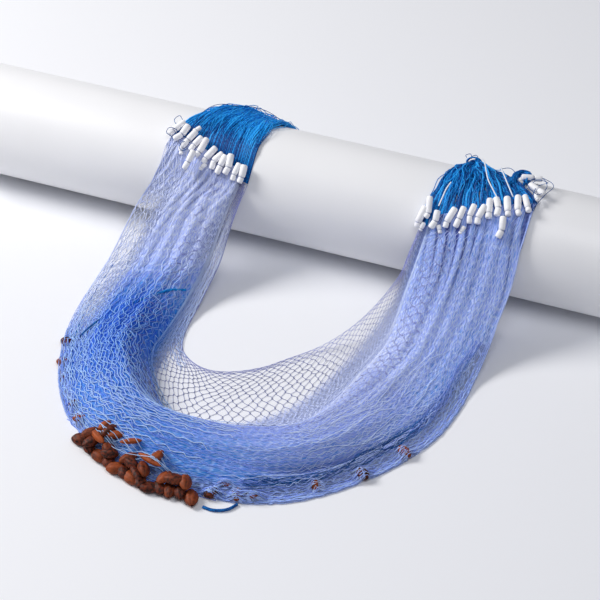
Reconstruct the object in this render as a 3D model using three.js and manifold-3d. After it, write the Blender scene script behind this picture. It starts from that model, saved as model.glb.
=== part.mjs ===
// Gill net gathered into a U and hung over a plain tube, its middle lying on the floor.
// Millimetres, +Z up. X runs along the tube and the net falls over the tube's front, towards -Y.
// The origin is on the floor, under the middle of the tube.
//
// Soft pieces are drawn flat in (x, -w, h) and then draped: w is the distance along the drape from the
// tube's top line, positive to the front, and h is the height above the drape.
import * as THREE from "three";
import { mergeVertices } from "three/addons/utils/BufferGeometryUtils.js";
import Module from "manifold-3d";

const wasm = await Module();
wasm.setup();

// Names the columns of a table of rows.
const table = (columns, rows) =>
  rows.map((row) => Object.fromEntries(columns.map((name, i) => [name, row[i]])));

// Tube
const TUBE_RADIUS = 80;
const TUBE_WALL = 5;
const TUBE_LENGTH = 1000;
const TUBE_FLAT = 16; // width of the flat that the tube rests on
const TUBE_STEPS = 32; // to each half turn

// Drape: over the tube, down a sagging ramp and along the floor
const DRAPE_LIFT = 0.8; // keeps the facets of the net clear of the tube
const LEAVE_ANGLE = THREE.MathUtils.degToRad(52); // where the net leaves the tube, from its top
const LANDING_Y = -265; // where the net meets the floor
const SAG_HANDLE = 90;
const BACK_REACH = 165;
const FLOOR_REACH = 330;

// Webbing, one row for each section along the U, from the left float row round to the right one.
// The open web runs from the inner edge to the rim, the gathered bundle from the rim to the outer edge.
const SECTIONS = table(["innerX", "innerW", "rimX", "rimW", "outerX", "outerW", "crest"], [
  [-45, 84, -57, 81, -170, 48, 1],
  [-51, 113, -65, 113, -182, 106, 5],
  [-55, 152, -71, 153, -199, 150, 9],
  [-56, 198, -76, 203, -214, 232, 13],
  [-62, 250, -84, 256, -222, 290, 20],
  [-63, 316, -90, 328, -211, 373, 30],
  [-51, 354, -91, 373, -185, 454, 38],
  [-18, 375, -64, 427, -157, 501, 43],
  [14, 374, -12, 480, -116, 546, 44],
  [59, 349, 46, 477, -25, 588, 42],
  [90, 316, 106, 462, 80, 590, 40],
  [121, 284, 149, 434, 182, 558, 36],
  [151, 245, 174, 385, 262, 481, 30],
  [175, 204, 190, 319, 312, 389, 22],
  [193, 164, 208, 250, 331, 272, 16],
  [198, 148, 212, 190, 345, 191, 12],
  [201, 126, 217, 138, 351, 140, 9],
  [206, 97, 221, 95, 352, 77, 5],
  [208, 87, 222, 82, 354, 30, 1],
]);
const LAST_SECTION = SECTIONS.length - 1;
const STEPS_ON_TUBE = 5; // steps between sections, closer where they bend over the tube
const STEPS_ON_FLOOR = 3;
const SECTIONS_ON_TUBE = 2; // at each end of the U
const WEB_STEPS = 4; // across the open web
const BUNDLE_STEPS = 15; // across the bundle's top
const UNDERSIDE_STRIDE = 3; // the bundle's plain underside has one point for each three on top
const WEB_THICKNESS = 2;
const EDGE_THICKNESS = 3.2; // where the webbing meets the floats
const CREST_SKEW = 0.62; // draws the crest of the bundle towards its rim
const CREST_FULLNESS = 0.7;

// Folds along the bundle: place across it, height, half width, first and last section
const FOLDS = table(["across", "height", "width", "from", "to"], [
  [0.1, 4, 0.06, 0.4, 4.5],
  [0.27, 4.5, 0.07, 0.4, 6],
  [0.45, 5, 0.06, 0.4, 7],
  [0.62, 4.5, 0.07, 0.4, 6.5],
  [0.8, 4, 0.06, 0.4, 5],
  [0.3, 5, 0.09, 5, 10],
  [0.62, 5, 0.08, 7, 13],
  [0.85, 4, 0.05, 9, 15],
  [0.22, 4, 0.07, 10, 17.6],
  [0.4, 4.5, 0.06, 12, 17.6],
  [0.56, 4, 0.06, 13, 17.6],
  [0.74, 4.5, 0.07, 13, 17.6],
  [0.9, 3, 0.05, 14.5, 17.6],
]);

// Open web: hexagonal gaps between bars
const MESH_PITCH = 24;
const MESH_BAR = 4;
const CUT_DEPTH = 8;

// Head rope: loops of rope, bound together at a head and spread to the floats
const STRANDS = 21;
const STRAND_LAYERS = 3;
const STRAND_RADIUS = 1.9;
const STRAND_SIDES = 3;
const STRAND_STOPS = 6; // points on the swept part of a strand's route
const STRAND_STEP = 22; // length of one straight step along a strand
const STRAND_HEIGHT = 2.4; // of a strand's middle above the drape, at the floats
const STRAND_STACK = 5; // between layers at the head
const STRAND_END_GAP = 2.5;
const HEAD_GAP = 0.4; // under the bound head
const HEADS = [
  {
    name: "head_rope_left",
    section: 0,
    place: { x: 45, w: -130 },
    spread: { x: 0, w: 22 },
    straight: 45,
    sweep: 1,
    size: [14, 20, 7],
  },
  {
    name: "head_rope_right",
    section: LAST_SECTION,
    place: { x: 246, w: -54 },
    spread: { x: 30, w: 0 },
    straight: 25,
    sweep: 0.5,
    size: [24, 13, 7],
  },
];

// Floats on the head rope: place of the middle, turn from straight down the net, rise above the lowest layer
const FLOAT_RADIUS = 5;
const FLOAT_LENGTH = 30;
const FLOAT_SIDES = 8;
const FLOAT_HEIGHT = 8.9; // of the axis above the drape in the lowest layer
const FLOAT_COLUMNS = ["x", "w", "turn", "rise"];
const FLOATS = {
  left: table(FLOAT_COLUMNS, [
    [-167, 30, -28, 0],
    [-155, 36, -28, 0],
    [-143.5, 41, -24, 0],
    [-132, 45, -24, 0],
    [-131, 68, -16, 9.6],
    [-120.5, 49, -20, 0],
    [-109, 55, -20, 0],
    [-98, 60, -18, 0],
    [-87, 64, -12, 0.3],
    [-75.2, 62, -6, 0],
    [-64.5, 69, -8, 0.2],
    [-53, 70, -6, 0.3],
  ]),
  right: table(FLOAT_COLUMNS, [
    [206.5, 71, -6, -0.9],
    [218, 58, -5, 0],
    [229.5, 71, -10, 0],
    [246, 64, -9, 0.3],
    [261, 61, -9, 0.8],
    [273.5, 54, 2, 0.4],
    [285.5, 52, -2, 0.6],
    [296.5, 42, 12, 0],
    [308, 37, 16, 0],
    [319.5, 34, 20, 0],
    [322, 62, -4, 2.4],
    [331.5, 30, 24, 0],
    [343.5, 24, 28, 0],
    [349, -2, 62, 0.7],
    [335, -24, 112, 2],
  ]),
};

// Sinkers threaded on the foot rope: place of the middle, turn about the vertical, tilt about the long axis
const SINKER_LENGTH = 27;
const SINKER_WIDTH = 19;
const SINKER_THICKNESS = 14;
const SINKER_FLAT = 0.8; // depth of the flat spot under a sinker
const SINKER_SIDES = 8;
const SINKER_RINGS = 5;
const FLOOR_SEAT = SINKER_THICKNESS / 2 - SINKER_FLAT;
const SINKERS = table(["x", "y", "z", "turn", "tilt"], [
  [-106, -506, FLOOR_SEAT, 100, 0],
  [-71, -525, FLOOR_SEAT, 70, 0],
  [-43, -538, FLOOR_SEAT, 115, 0],
  [-18.7, -546, FLOOR_SEAT, 60, 0],
  [11, -554, FLOOR_SEAT, 105, 0],
  [36.5, -549.2, FLOOR_SEAT, 20, 0],
  [68, -552, FLOOR_SEAT, 25, 0],
  [-87, -512.5, 16, 150, 30],
  [-60, -519, 16, 40, 35],
  [-30, -525, 17, 140, 40],
  [-4, -536.5, 17, 30, 35],
  [26, -540, 16, 160, 35],
  [55, -539, 17, 20, 30],
  [-70, -497, 26, 155, 45],
  [8, -522, 29, 165, 50],
  [-121, -474, 11, 120, 20],
  [-137, -453, 11, 110, 20],
  [-172, -404, FLOOR_SEAT, 105, 0],
  [-190, -380, FLOOR_SEAT, 95, 0],
  [-203, -342, FLOOR_SEAT, 80, 0],
  [88, -535, FLOOR_SEAT, 150, 0],
  [120, -526, FLOOR_SEAT, 15, 0],
  [206, -474, FLOOR_SEAT, 30, 0],
  [256, -436, FLOOR_SEAT, 50, 0],
  [293, -380, FLOOR_SEAT, 60, 0],
]);
const CLEARANCE = 0.4; // between a sinker or the tie cord and the webbing that it is nested in

// Ropes: sections along the webbing and places across the bundle for those that lie on it
const ROPE_RADIUS = 2;
const ROPE_SIDES = 8;
const ROPE_STEP = 13;
const TIE_RISE = 1; // of its middle above the webbing that it presses into
const FOOT_ROPE_ACROSS = 0.9;
const FOOT_ROPE_STEP = 0.4; // sections between the stops of its route
// First and last section of each foot rope, and the rise of its middle above the webbing that it lies on
const FOOT_ROPES = {
  left: { from: 3.2, to: 6.6, rise: 2.8 },
  right: { from: 10.8, to: 14.4, rise: 3.65 },
};
const TIE_ROUTE = [
  [3.95, 0.02],
  [4.1, 0.15],
  [4.4, 0.3],
  [4.75, 0.5],
  [5.1, 0.7],
  [5.35, 0.84],
];
const TAIL_ROUTE = [
  [125, -538.6],
  [118, -550],
  [109, -556],
  [98, -559],
  [86, -558],
];

const COLOURS = {
  tube: 0xf4f5f8,
  web: 0x7f97dc,
  rope: 0x1668bd,
  float: 0xf3f1ec,
  clay: 0x7d3a1e,
};

const tubeAxisZ = Math.sqrt(TUBE_RADIUS ** 2 - (TUBE_FLAT / 2) ** 2);

// The drape's line in the YZ plane: an arc over the tube, a sagging ramp, then the floor.
function drapeLine() {
  const radius = TUBE_RADIUS + DRAPE_LIFT;
  const top = Math.PI / 2;
  const start = top - BACK_REACH / radius;
  const arc = new THREE.EllipseCurve(0, tubeAxisZ, radius, radius, start, top + LEAVE_ANGLE);
  const leave = arc.getPoint(1);
  const down = new THREE.Vector2(-Math.cos(LEAVE_ANGLE), -Math.sin(LEAVE_ANGLE));
  const landing = new THREE.Vector2(LANDING_Y, 0);
  const ramp = new THREE.CubicBezierCurve(
    leave,
    leave.clone().addScaledVector(down, SAG_HANDLE),
    landing.clone().setX(LANDING_Y + SAG_HANDLE),
    landing,
  );
  const line = new THREE.CurvePath();
  line.add(arc);
  line.add(ramp);
  line.add(new THREE.LineCurve(landing, new THREE.Vector2(LANDING_Y - FLOOR_REACH, 0)));
  return line;
}

const drapeCurve = drapeLine();
const drapeLength = drapeCurve.getLength();

// Point on the drape at x and w, raised by h, with the drape's own directions there.
function drapeFrame(x, w, h) {
  const t = THREE.MathUtils.clamp((w + BACK_REACH) / drapeLength, 0, 1);
  const point = drapeCurve.getPoint(t);
  const along = drapeCurve.getTangent(t);
  const normal = new THREE.Vector3(0, along.y, -along.x);
  const place = new THREE.Vector3(x, point.x, point.y).addScaledVector(normal, h);
  return { place, normal, along: new THREE.Vector3(0, along.x, along.y) };
}

// Bends a flat geometry, drawn in (x, -w, h), over the drape.
function draped(geometry) {
  const position = geometry.attributes.position;
  for (let i = 0; i < position.count; i += 1) {
    const { place } = drapeFrame(position.getX(i), -position.getY(i), position.getZ(i));
    position.setXYZ(i, place.x, place.y, place.z);
  }
  return geometry;
}

// Keeps positions only and merges shared points, so that the surface is closed.
function welded(geometry) {
  geometry.deleteAttribute("normal");
  geometry.deleteAttribute("uv");
  return mergeVertices(geometry, 1e-4);
}

function toManifold(geometry) {
  const mesh = welded(geometry.clone());
  return new wasm.Manifold(
    new wasm.Mesh({
      numProp: 3,
      vertProperties: new Float32Array(mesh.attributes.position.array),
      triVerts: new Uint32Array(mesh.index.array),
    }),
  );
}

function fromManifold(solid) {
  const mesh = solid.getMesh();
  const geometry = new THREE.BufferGeometry();
  const points = new Float32Array(mesh.vertProperties);
  geometry.setAttribute("position", new THREE.BufferAttribute(points, mesh.numProp));
  geometry.setIndex(new THREE.BufferAttribute(new Uint32Array(mesh.triVerts), 1));
  return geometry;
}

function meshOf(name, geometry, colour, roughness = 0.6) {
  const material = new THREE.MeshStandardMaterial({ color: colour, roughness, metalness: 0 });
  const mesh = new THREE.Mesh(geometry, material);
  mesh.name = name;
  return mesh;
}

// Tube with a narrow flat underneath, extruded along X.
function tubeGeometry() {
  const half = TUBE_FLAT / 2;
  const flatAngle = Math.asin(half / TUBE_RADIUS);
  const down = -Math.PI / 2;
  const outline = new THREE.Shape();
  outline.absarc(0, 0, TUBE_RADIUS, down + flatAngle, down - flatAngle + 2 * Math.PI, false);
  outline.closePath();
  const bore = new THREE.Path();
  bore.absarc(0, 0, TUBE_RADIUS - TUBE_WALL, 0, 2 * Math.PI, true);
  outline.holes.push(bore);
  const geometry = new THREE.ExtrudeGeometry(outline, {
    depth: TUBE_LENGTH,
    bevelEnabled: false,
    curveSegments: TUBE_STEPS,
  });
  // The section's x becomes Y, its y becomes Z and its depth becomes X.
  const basis = new THREE.Matrix4().makeBasis(
    new THREE.Vector3(0, 1, 0),
    new THREE.Vector3(0, 0, 1),
    new THREE.Vector3(1, 0, 0),
  );
  geometry.applyMatrix4(basis);
  geometry.translate(-TUBE_LENGTH / 2, 0, tubeAxisZ);
  return welded(geometry);
}

function railThrough(xName, wName) {
  const points = SECTIONS.map((row) => new THREE.Vector3(row[xName], row[wName], row.crest));
  return new THREE.CatmullRomCurve3(points);
}

const innerRail = railThrough("innerX", "innerW");
const rimRail = railThrough("rimX", "rimW");
const outerRail = railThrough("outerX", "outerW");

// Flat place (x, w) in the webbing: across is -1 at the inner edge, 0 at the rim and 1 at the outer edge.
// The third value is the crest height there.
function webbingPlace(section, across) {
  const t = THREE.MathUtils.clamp(section / LAST_SECTION, 0, 1);
  const rim = rimRail.getPoint(t);
  const side = across < 0 ? innerRail.getPoint(t) : outerRail.getPoint(t);
  return rim.lerp(side, Math.abs(across));
}

// Height of the webbing's top above the drape: a skewed crest with folds along it.
function webbingTop(section, across, crest) {
  if (across <= 0) {
    return WEB_THICKNESS;
  }
  const hump = Math.max(Math.sin(Math.PI * across ** CREST_SKEW), 0) ** CREST_FULLNESS;
  const nearEnd = Math.min(section, LAST_SECTION - section);
  const thinning = THREE.MathUtils.smoothstep(nearEnd, 1, 3);
  const edge = THREE.MathUtils.lerp(EDGE_THICKNESS, WEB_THICKNESS, thinning);
  const folds = FOLDS.reduce((sum, fold) => {
    const strength =
      THREE.MathUtils.smoothstep(section, fold.from, fold.from + 1) *
      (1 - THREE.MathUtils.smoothstep(section, fold.to - 1, fold.to));
    return sum + strength * fold.height * Math.exp(-(((across - fold.across) / fold.width) ** 2));
  }, 0);
  return edge + (crest + folds) * hump;
}

// Stations along the U, in sections of the table.
function webbingStations() {
  const stations = [];
  for (let i = 0; i < LAST_SECTION; i += 1) {
    const onTube = i < SECTIONS_ON_TUBE || i >= LAST_SECTION - SECTIONS_ON_TUBE;
    const steps = onTube ? STEPS_ON_TUBE : STEPS_ON_FLOOR;
    for (let k = 0; k < steps; k += 1) {
      stations.push(i + k / steps);
    }
  }
  return [...stations, LAST_SECTION];
}

// Closed loft through the sections: a top with the folds, an underside on the drape, and two end strips.
function webbingLoft() {
  const acrossTop = [];
  for (let i = -WEB_STEPS; i <= BUNDLE_STEPS; i += 1) {
    acrossTop.push(i < 0 ? i / WEB_STEPS : i / BUNDLE_STEPS);
  }
  const undersideOf = acrossTop
    .map((_, i) => i)
    .filter((i) => i < WEB_STEPS || (i - WEB_STEPS) % UNDERSIDE_STRIDE === 0);
  const topCount = acrossTop.length;
  const ring = topCount + undersideOf.length;
  const stations = webbingStations();
  const points = [];
  for (const section of stations) {
    for (const across of acrossTop) {
      const flat = webbingPlace(section, across);
      points.push(flat.x, -flat.y, webbingTop(section, across, flat.z));
    }
    for (const i of [...undersideOf].reverse()) {
      const flat = webbingPlace(section, acrossTop[i]);
      points.push(flat.x, -flat.y, 0);
    }
  }
  const triangles = [];
  for (let j = 0; j + 1 < stations.length; j += 1) {
    for (let i = 0; i < ring; i += 1) {
      const a = j * ring + i;
      const b = j * ring + ((i + 1) % ring);
      triangles.push(a, b, b + ring, a, b + ring, a + ring);
    }
  }
  // End strips: each underside step fans to the top points above it.
  const under = (k) => ring - 1 - k;
  for (const [start, flip] of [[0, false], [(stations.length - 1) * ring, true]]) {
    const add = (a, b, c) => triangles.push(start + a, start + (flip ? c : b), start + (flip ? b : c));
    for (let k = 0; k + 1 < undersideOf.length; k += 1) {
      for (let i = undersideOf[k]; i < undersideOf[k + 1]; i += 1) {
        add(under(k), i + 1, i);
      }
      add(under(k), under(k + 1), undersideOf[k + 1]);
    }
  }
  const geometry = new THREE.BufferGeometry();
  geometry.setAttribute("position", new THREE.Float32BufferAttribute(points, 3));
  geometry.setIndex(triangles);
  return draped(geometry);
}

// Least distance from a flat point to the open web's outline, negative outside it.
function insetInWeb(point, outline) {
  let inside = false;
  let nearest = Infinity;
  outline.forEach((a, i) => {
    const b = outline[(i + 1) % outline.length];
    if (a.y > point.y !== b.y > point.y && point.x < ((b.x - a.x) * (point.y - a.y)) / (b.y - a.y) + a.x) {
      inside = !inside;
    }
    const nearestPoint = new THREE.Line3(
      new THREE.Vector3(a.x, a.y, 0),
      new THREE.Vector3(b.x, b.y, 0),
    ).closestPointToPoint(new THREE.Vector3(point.x, point.y, 0), true, new THREE.Vector3());
    nearest = Math.min(nearest, Math.hypot(nearestPoint.x - point.x, nearestPoint.y - point.y));
  });
  return inside ? nearest : -nearest;
}

// Middles of the hexagonal gaps: a staggered lattice, kept where it lies inside the open web.
function meshGaps() {
  const stations = webbingStations();
  const outline = [
    ...stations.map((section) => webbingPlace(section, -1)),
    ...stations.reverse().map((section) => webbingPlace(section, 0)),
  ];
  const box = new THREE.Box2().setFromPoints(outline);
  const rowPitch = (MESH_PITCH * Math.sqrt(3)) / 2;
  const gaps = [];
  for (let row = 0; box.min.y + row * rowPitch < box.max.y; row += 1) {
    for (let x = box.min.x + ((row % 2) * MESH_PITCH) / 2; x < box.max.x; x += MESH_PITCH) {
      const point = new THREE.Vector2(x, box.min.y + row * rowPitch);
      if (insetInWeb(point, outline) > MESH_PITCH / 2 + MESH_BAR / 4) {
        gaps.push(point);
      }
    }
  }
  return gaps;
}

// One gap: a hexagonal prism that passes through the open web.
function gapCutter(place) {
  const radius = (MESH_PITCH - MESH_BAR) / Math.sqrt(3);
  const corners = Array.from({ length: 6 }, (_, i) => {
    const angle = ((i + 0.5) * Math.PI) / 3;
    return new THREE.Vector2(place.x + radius * Math.cos(angle), -place.y + radius * Math.sin(angle));
  });
  const geometry = new THREE.ExtrudeGeometry(new THREE.Shape(corners), {
    depth: CUT_DEPTH,
    bevelEnabled: false,
  });
  geometry.translate(0, 0, WEB_THICKNESS / 2 - CUT_DEPTH / 2);
  return draped(geometry);
}

function webbingGeometry(pockets) {
  let solid = toManifold(webbingLoft());
  for (const gap of meshGaps()) {
    solid = solid.subtract(toManifold(gapCutter(gap)));
  }
  for (const pocket of pockets) {
    solid = solid.subtract(toManifold(pocket));
  }
  return fromManifold(solid);
}

// Rope of many-sided section along a route.
function ropeGeometry(points, radius, sides, step) {
  const corners = Array.from({ length: sides }, (_, i) => {
    const angle = ((i + 0.5) * 2 * Math.PI) / sides;
    return new THREE.Vector2(radius * Math.cos(angle), radius * Math.sin(angle));
  });
  const route = new THREE.CatmullRomCurve3(points);
  return new THREE.ExtrudeGeometry(new THREE.Shape(corners), {
    steps: Math.ceil(route.getLength() / step),
    extrudePath: route,
    bevelEnabled: false,
  });
}

// One strand of the head rope: from the head it sweeps along the tube, then runs straight to the float row.
function strandRoute(head, index) {
  const share = (index + 0.5) / STRANDS;
  const end = SECTIONS[head.section];
  const foot = {
    x: THREE.MathUtils.lerp(end.innerX, end.outerX, share),
    w: THREE.MathUtils.lerp(end.innerW, end.outerW, share) - STRAND_END_GAP,
  };
  const knee = { x: foot.x, w: foot.w - head.straight };
  const root = {
    x: head.place.x + (share - 0.5) * head.spread.x,
    w: head.place.w + (0.5 - share) * head.spread.w,
  };
  const stack = (index % STRAND_LAYERS) * STRAND_STACK * Math.sqrt(Math.sin(Math.PI * share));
  const swept = Array.from({ length: STRAND_STOPS }, (_, i) => {
    const t = i / (STRAND_STOPS - 1);
    const turn = (t * Math.PI) / 2;
    return new THREE.Vector3(
      THREE.MathUtils.lerp(root.x, knee.x, THREE.MathUtils.lerp(t, Math.sin(turn), head.sweep)),
      -THREE.MathUtils.lerp(root.w, knee.w, THREE.MathUtils.lerp(t, 1 - Math.cos(turn), head.sweep)),
      STRAND_HEIGHT + stack * (1 - t * t),
    );
  });
  return [...swept, new THREE.Vector3(foot.x, -foot.w, STRAND_HEIGHT)];
}

// Bound head with its strands, fused at their roots.
function headRopeGeometry(head) {
  const lump = new THREE.SphereGeometry(1, 12, 8);
  lump.rotateX(Math.PI / 2);
  lump.scale(...head.size);
  lump.translate(head.place.x, -head.place.w, head.size[2] + HEAD_GAP);
  let solid = toManifold(draped(lump));
  for (let i = 0; i < STRANDS; i += 1) {
    const strand = ropeGeometry(strandRoute(head, i), STRAND_RADIUS, STRAND_SIDES, STRAND_STEP);
    solid = solid.add(toManifold(draped(strand)));
  }
  return fromManifold(solid);
}

// Float: a foam cylinder with eased ends and a shallow waist where it is tied, turned about its length.
function floatGeometry() {
  const half = FLOAT_LENGTH / 2;
  const profile = [
    [0, -half],
    [0.78 * FLOAT_RADIUS, -half],
    [FLOAT_RADIUS, -half + 2],
    [0.86 * FLOAT_RADIUS, 0],
    [FLOAT_RADIUS, half - 2],
    [0.78 * FLOAT_RADIUS, half],
    [0, half],
  ].map(([radius, along]) => new THREE.Vector2(radius, along));
  return welded(new THREE.LatheGeometry(profile, FLOAT_SIDES));
}

function floatMesh(name, { x, w, turn, rise }) {
  const mesh = meshOf(name, floatGeometry(), COLOURS.float, 0.7);
  const { place, normal, along } = drapeFrame(x, w, FLOAT_HEIGHT + rise);
  const axis = along.applyAxisAngle(normal, THREE.MathUtils.degToRad(turn));
  const side = new THREE.Vector3().crossVectors(axis, normal);
  mesh.position.copy(place);
  mesh.quaternion.setFromRotationMatrix(new THREE.Matrix4().makeBasis(side, axis, normal));
  return mesh;
}

// Sinker: a fired-clay olive with pointed ends, a little flattened, and a flat spot underneath.
function sinkerGeometry(grow = 0) {
  const profile = Array.from({ length: SINKER_RINGS + 1 }, (_, i) => {
    const angle = (i / SINKER_RINGS) * Math.PI;
    const radius = i % SINKER_RINGS === 0 ? 0 : Math.sin(angle) ** 0.9;
    return new THREE.Vector2(radius, -Math.cos(angle));
  });
  const geometry = new THREE.LatheGeometry(profile, SINKER_SIDES);
  geometry.scale(SINKER_WIDTH / 2 + grow, SINKER_LENGTH / 2 + grow, SINKER_THICKNESS / 2 + grow);
  const position = geometry.attributes.position;
  for (let i = 0; i < position.count; i += 1) {
    position.setZ(i, Math.max(position.getZ(i), -FLOOR_SEAT - grow));
  }
  return welded(geometry);
}

function sinkerMatrix({ x, y, z, turn, tilt }) {
  const euler = new THREE.Euler(0, THREE.MathUtils.degToRad(tilt), THREE.MathUtils.degToRad(turn), "ZXY");
  const rotation = new THREE.Quaternion().setFromEuler(euler);
  return new THREE.Matrix4().compose(new THREE.Vector3(x, y, z), rotation, new THREE.Vector3(1, 1, 1));
}

function sinkerMesh(name, row) {
  const mesh = meshOf(name, sinkerGeometry(), COLOURS.clay, 0.85);
  mesh.applyMatrix4(sinkerMatrix(row));
  return mesh;
}

// Route of a rope that lies on the webbing's top.
function routeOnWebbing(stops, rise) {
  return stops.map(([section, across]) => {
    const flat = webbingPlace(section, across);
    return new THREE.Vector3(flat.x, -flat.y, webbingTop(section, across, flat.z) + rise);
  });
}

// Rope that lies on the webbing, draped with it.
function lyingRope(stops, rise) {
  return welded(draped(ropeGeometry(routeOnWebbing(stops, rise), ROPE_RADIUS, ROPE_SIDES, ROPE_STEP)));
}

// Groove that the tie cord is pressed into, larger than the cord all round.
function tieGroove() {
  const route = routeOnWebbing(TIE_ROUTE, TIE_RISE);
  const beyond = (end, next) => end.clone().add(end.clone().sub(next).setLength(CLEARANCE));
  const points = [beyond(route[0], route[1]), ...route.slice(1, -1), beyond(route.at(-1), route.at(-2))];
  return draped(ropeGeometry(points, ROPE_RADIUS + CLEARANCE, ROPE_SIDES, ROPE_STEP));
}

function footRopeStops({ from, to }) {
  const stops = [];
  for (let section = from; section <= to; section += FOOT_ROPE_STEP) {
    stops.push([section, FOOT_ROPE_ACROSS]);
  }
  return stops;
}

const group = new THREE.Group();
group.add(meshOf("tube", tubeGeometry(), COLOURS.tube, 0.35));

const pockets = [
  ...SINKERS.map((row) => sinkerGeometry(CLEARANCE).applyMatrix4(sinkerMatrix(row))),
  tieGroove(),
];
group.add(meshOf("webbing", webbingGeometry(pockets), COLOURS.web));

for (const head of HEADS) {
  group.add(meshOf(head.name, headRopeGeometry(head), COLOURS.rope));
}
for (const [side, rows] of Object.entries(FLOATS)) {
  rows.forEach((row, i) => group.add(floatMesh(`float_${side}_${i + 1}`, row)));
}
SINKERS.forEach((row, i) => group.add(sinkerMesh(`sinker_${i + 1}`, row)));
for (const [side, rope] of Object.entries(FOOT_ROPES)) {
  group.add(meshOf(`foot_rope_${side}`, lyingRope(footRopeStops(rope), rope.rise), COLOURS.rope));
}
group.add(meshOf("tie_cord", lyingRope(TIE_ROUTE, TIE_RISE), COLOURS.rope));
const tail = TAIL_ROUTE.map(([x, y]) => new THREE.Vector3(x, y, ROPE_RADIUS));
group.add(meshOf("rope_tail", welded(ropeGeometry(tail, ROPE_RADIUS, ROPE_SIDES, ROPE_STEP)), COLOURS.rope));

export default group;
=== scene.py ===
"""Looks of a gill net that is gathered into a U and hung over a plain tube.

The webbing is an inner sheet, which stands for the many layers that lie too deep to draw, and layers of
knotted mesh on and over it, each a set of zigzag threads laid on the drape.
The tables are in millimetres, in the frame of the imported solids, and the meshes are in metres.
Soft pieces are drawn flat as (x, w, h) and then draped: w is the distance along the drape from the tube's
top line, positive to the front, and h is the height above the drape.
"""
import math
from typing import NamedTuple

import bpy
import numpy as np
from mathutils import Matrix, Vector


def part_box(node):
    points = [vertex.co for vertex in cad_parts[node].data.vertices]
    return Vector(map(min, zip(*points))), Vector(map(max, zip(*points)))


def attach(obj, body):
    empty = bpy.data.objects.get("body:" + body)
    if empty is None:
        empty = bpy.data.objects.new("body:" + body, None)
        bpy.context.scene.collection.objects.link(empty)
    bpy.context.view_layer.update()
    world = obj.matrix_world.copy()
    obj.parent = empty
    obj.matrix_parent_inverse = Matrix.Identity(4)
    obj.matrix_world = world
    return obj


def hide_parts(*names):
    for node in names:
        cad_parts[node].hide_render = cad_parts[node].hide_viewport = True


bl_info = {
    "name": "Gill Net Over a Tube",
    "version": (1, 0, 0),
    "blender": (4, 5, 0),
    "location": "View3D > Sidebar > Gill Net",
    "description": "Dresses the solids of a gill net with threads, ropes, floats and sinkers",
    "category": "Mesh",
}

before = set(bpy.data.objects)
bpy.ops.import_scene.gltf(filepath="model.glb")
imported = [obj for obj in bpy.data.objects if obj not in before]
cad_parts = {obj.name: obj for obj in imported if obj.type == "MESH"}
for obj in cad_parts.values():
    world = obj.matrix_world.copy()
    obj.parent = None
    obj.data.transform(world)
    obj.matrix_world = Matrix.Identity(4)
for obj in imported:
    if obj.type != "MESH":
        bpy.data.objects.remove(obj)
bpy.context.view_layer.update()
BODY = "root"
MM = 0.001
BLACK, WHITE = (0, 0, 0), (1, 1, 1)


def table(columns, rows):
    """Columns of a table, as arrays by name."""
    return dict(zip(columns.split(), np.array(rows, float).T))


def linear(code):
    """Linear red, green and blue of a screen colour such as 0x1668BD."""
    screen = np.array([code >> 16 & 255, code >> 8 & 255, code & 255]) / 255
    return tuple(np.where(screen < 0.04045, screen / 12.92, ((screen + 0.055) / 1.055) ** 2.4))


# Stage, in metres: half of the floor's side, the lamps and the point that they look at
FLOOR_HALF = 6.0
LAMPS = {
    "key": dict(place=(-3.3, -0.25, 2.6), size=1.8, colour=linear(0xFFFDFA)),
    "fill": dict(place=(1.0, -1.3, 3.6), size=2.2, colour=linear(0xF8FAFF)),
}
LAMP_AIM = Vector((0.05, -0.2, 0))
SKY_COLOUR = linear(0xEDF0FA)
CAMERA_REACH = 50

# Sides of the tubes that the pieces are made of
THREAD_SIDES = 3
STRAND_SIDES = 6
CORD_SIDES = 10
FLOAT_SIDES = 16
SINKER_SIDES = 30
TUBE_SIDES = 192
# First seed of each group of pieces
SEEDS = dict(head_ropes=20, floats=40, sinkers=60, foot_ropes=80)

# Tube and drape: an arc over the tube, a sagging ramp, then the floor
TUBE_LOW, TUBE_HIGH = (np.array(corner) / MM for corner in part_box("tube"))
TUBE_RADIUS = (TUBE_HIGH[1] - TUBE_LOW[1]) / 2
TUBE_AXIS_Z = TUBE_HIGH[2] - TUBE_RADIUS
TUBE_WALL = 5
TUBE_EDGE = 1.2  # rounding of the tube's rims
TUBE_EDGE_STEPS = 5
DRAPE_LIFT = 0.8
LEAVE_ANGLE = math.radians(52)
LANDING_Y = -265
SAG_HANDLE = 90
BACK_REACH = 165
FLOOR_REACH = 330
DRAPE_SAMPLES = 300

# Webbing, one row for each section along the U, from the left float row round to the right one
SECTIONS = table("inner_x inner_w rim_x rim_w outer_x outer_w crest", [
    [-45, 84, -57, 81, -170, 48, 1],
    [-51, 113, -65, 113, -182, 106, 5],
    [-55, 152, -71, 153, -199, 150, 9],
    [-56, 198, -76, 203, -214, 232, 13],
    [-62, 250, -84, 256, -222, 290, 20],
    [-63, 316, -90, 328, -211, 373, 30],
    [-51, 354, -91, 373, -185, 454, 38],
    [-18, 375, -64, 427, -157, 501, 43],
    [14, 374, -12, 480, -116, 546, 44],
    [59, 349, 46, 477, -25, 588, 42],
    [90, 316, 106, 462, 80, 590, 40],
    [121, 284, 149, 434, 182, 558, 36],
    [151, 245, 174, 385, 262, 481, 30],
    [175, 204, 190, 319, 312, 389, 22],
    [193, 164, 208, 250, 331, 272, 16],
    [198, 148, 212, 190, 345, 191, 12],
    [201, 126, 217, 138, 351, 140, 9],
    [206, 97, 221, 95, 352, 77, 5],
    [208, 87, 222, 82, 354, 30, 1],
])
LAST_SECTION = len(SECTIONS["crest"]) - 1
WEB_THICKNESS = 2
EDGE_THICKNESS = 3.2
EDGE_THINS = 1, 3  # sections from an end over which the edge thins out
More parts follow.
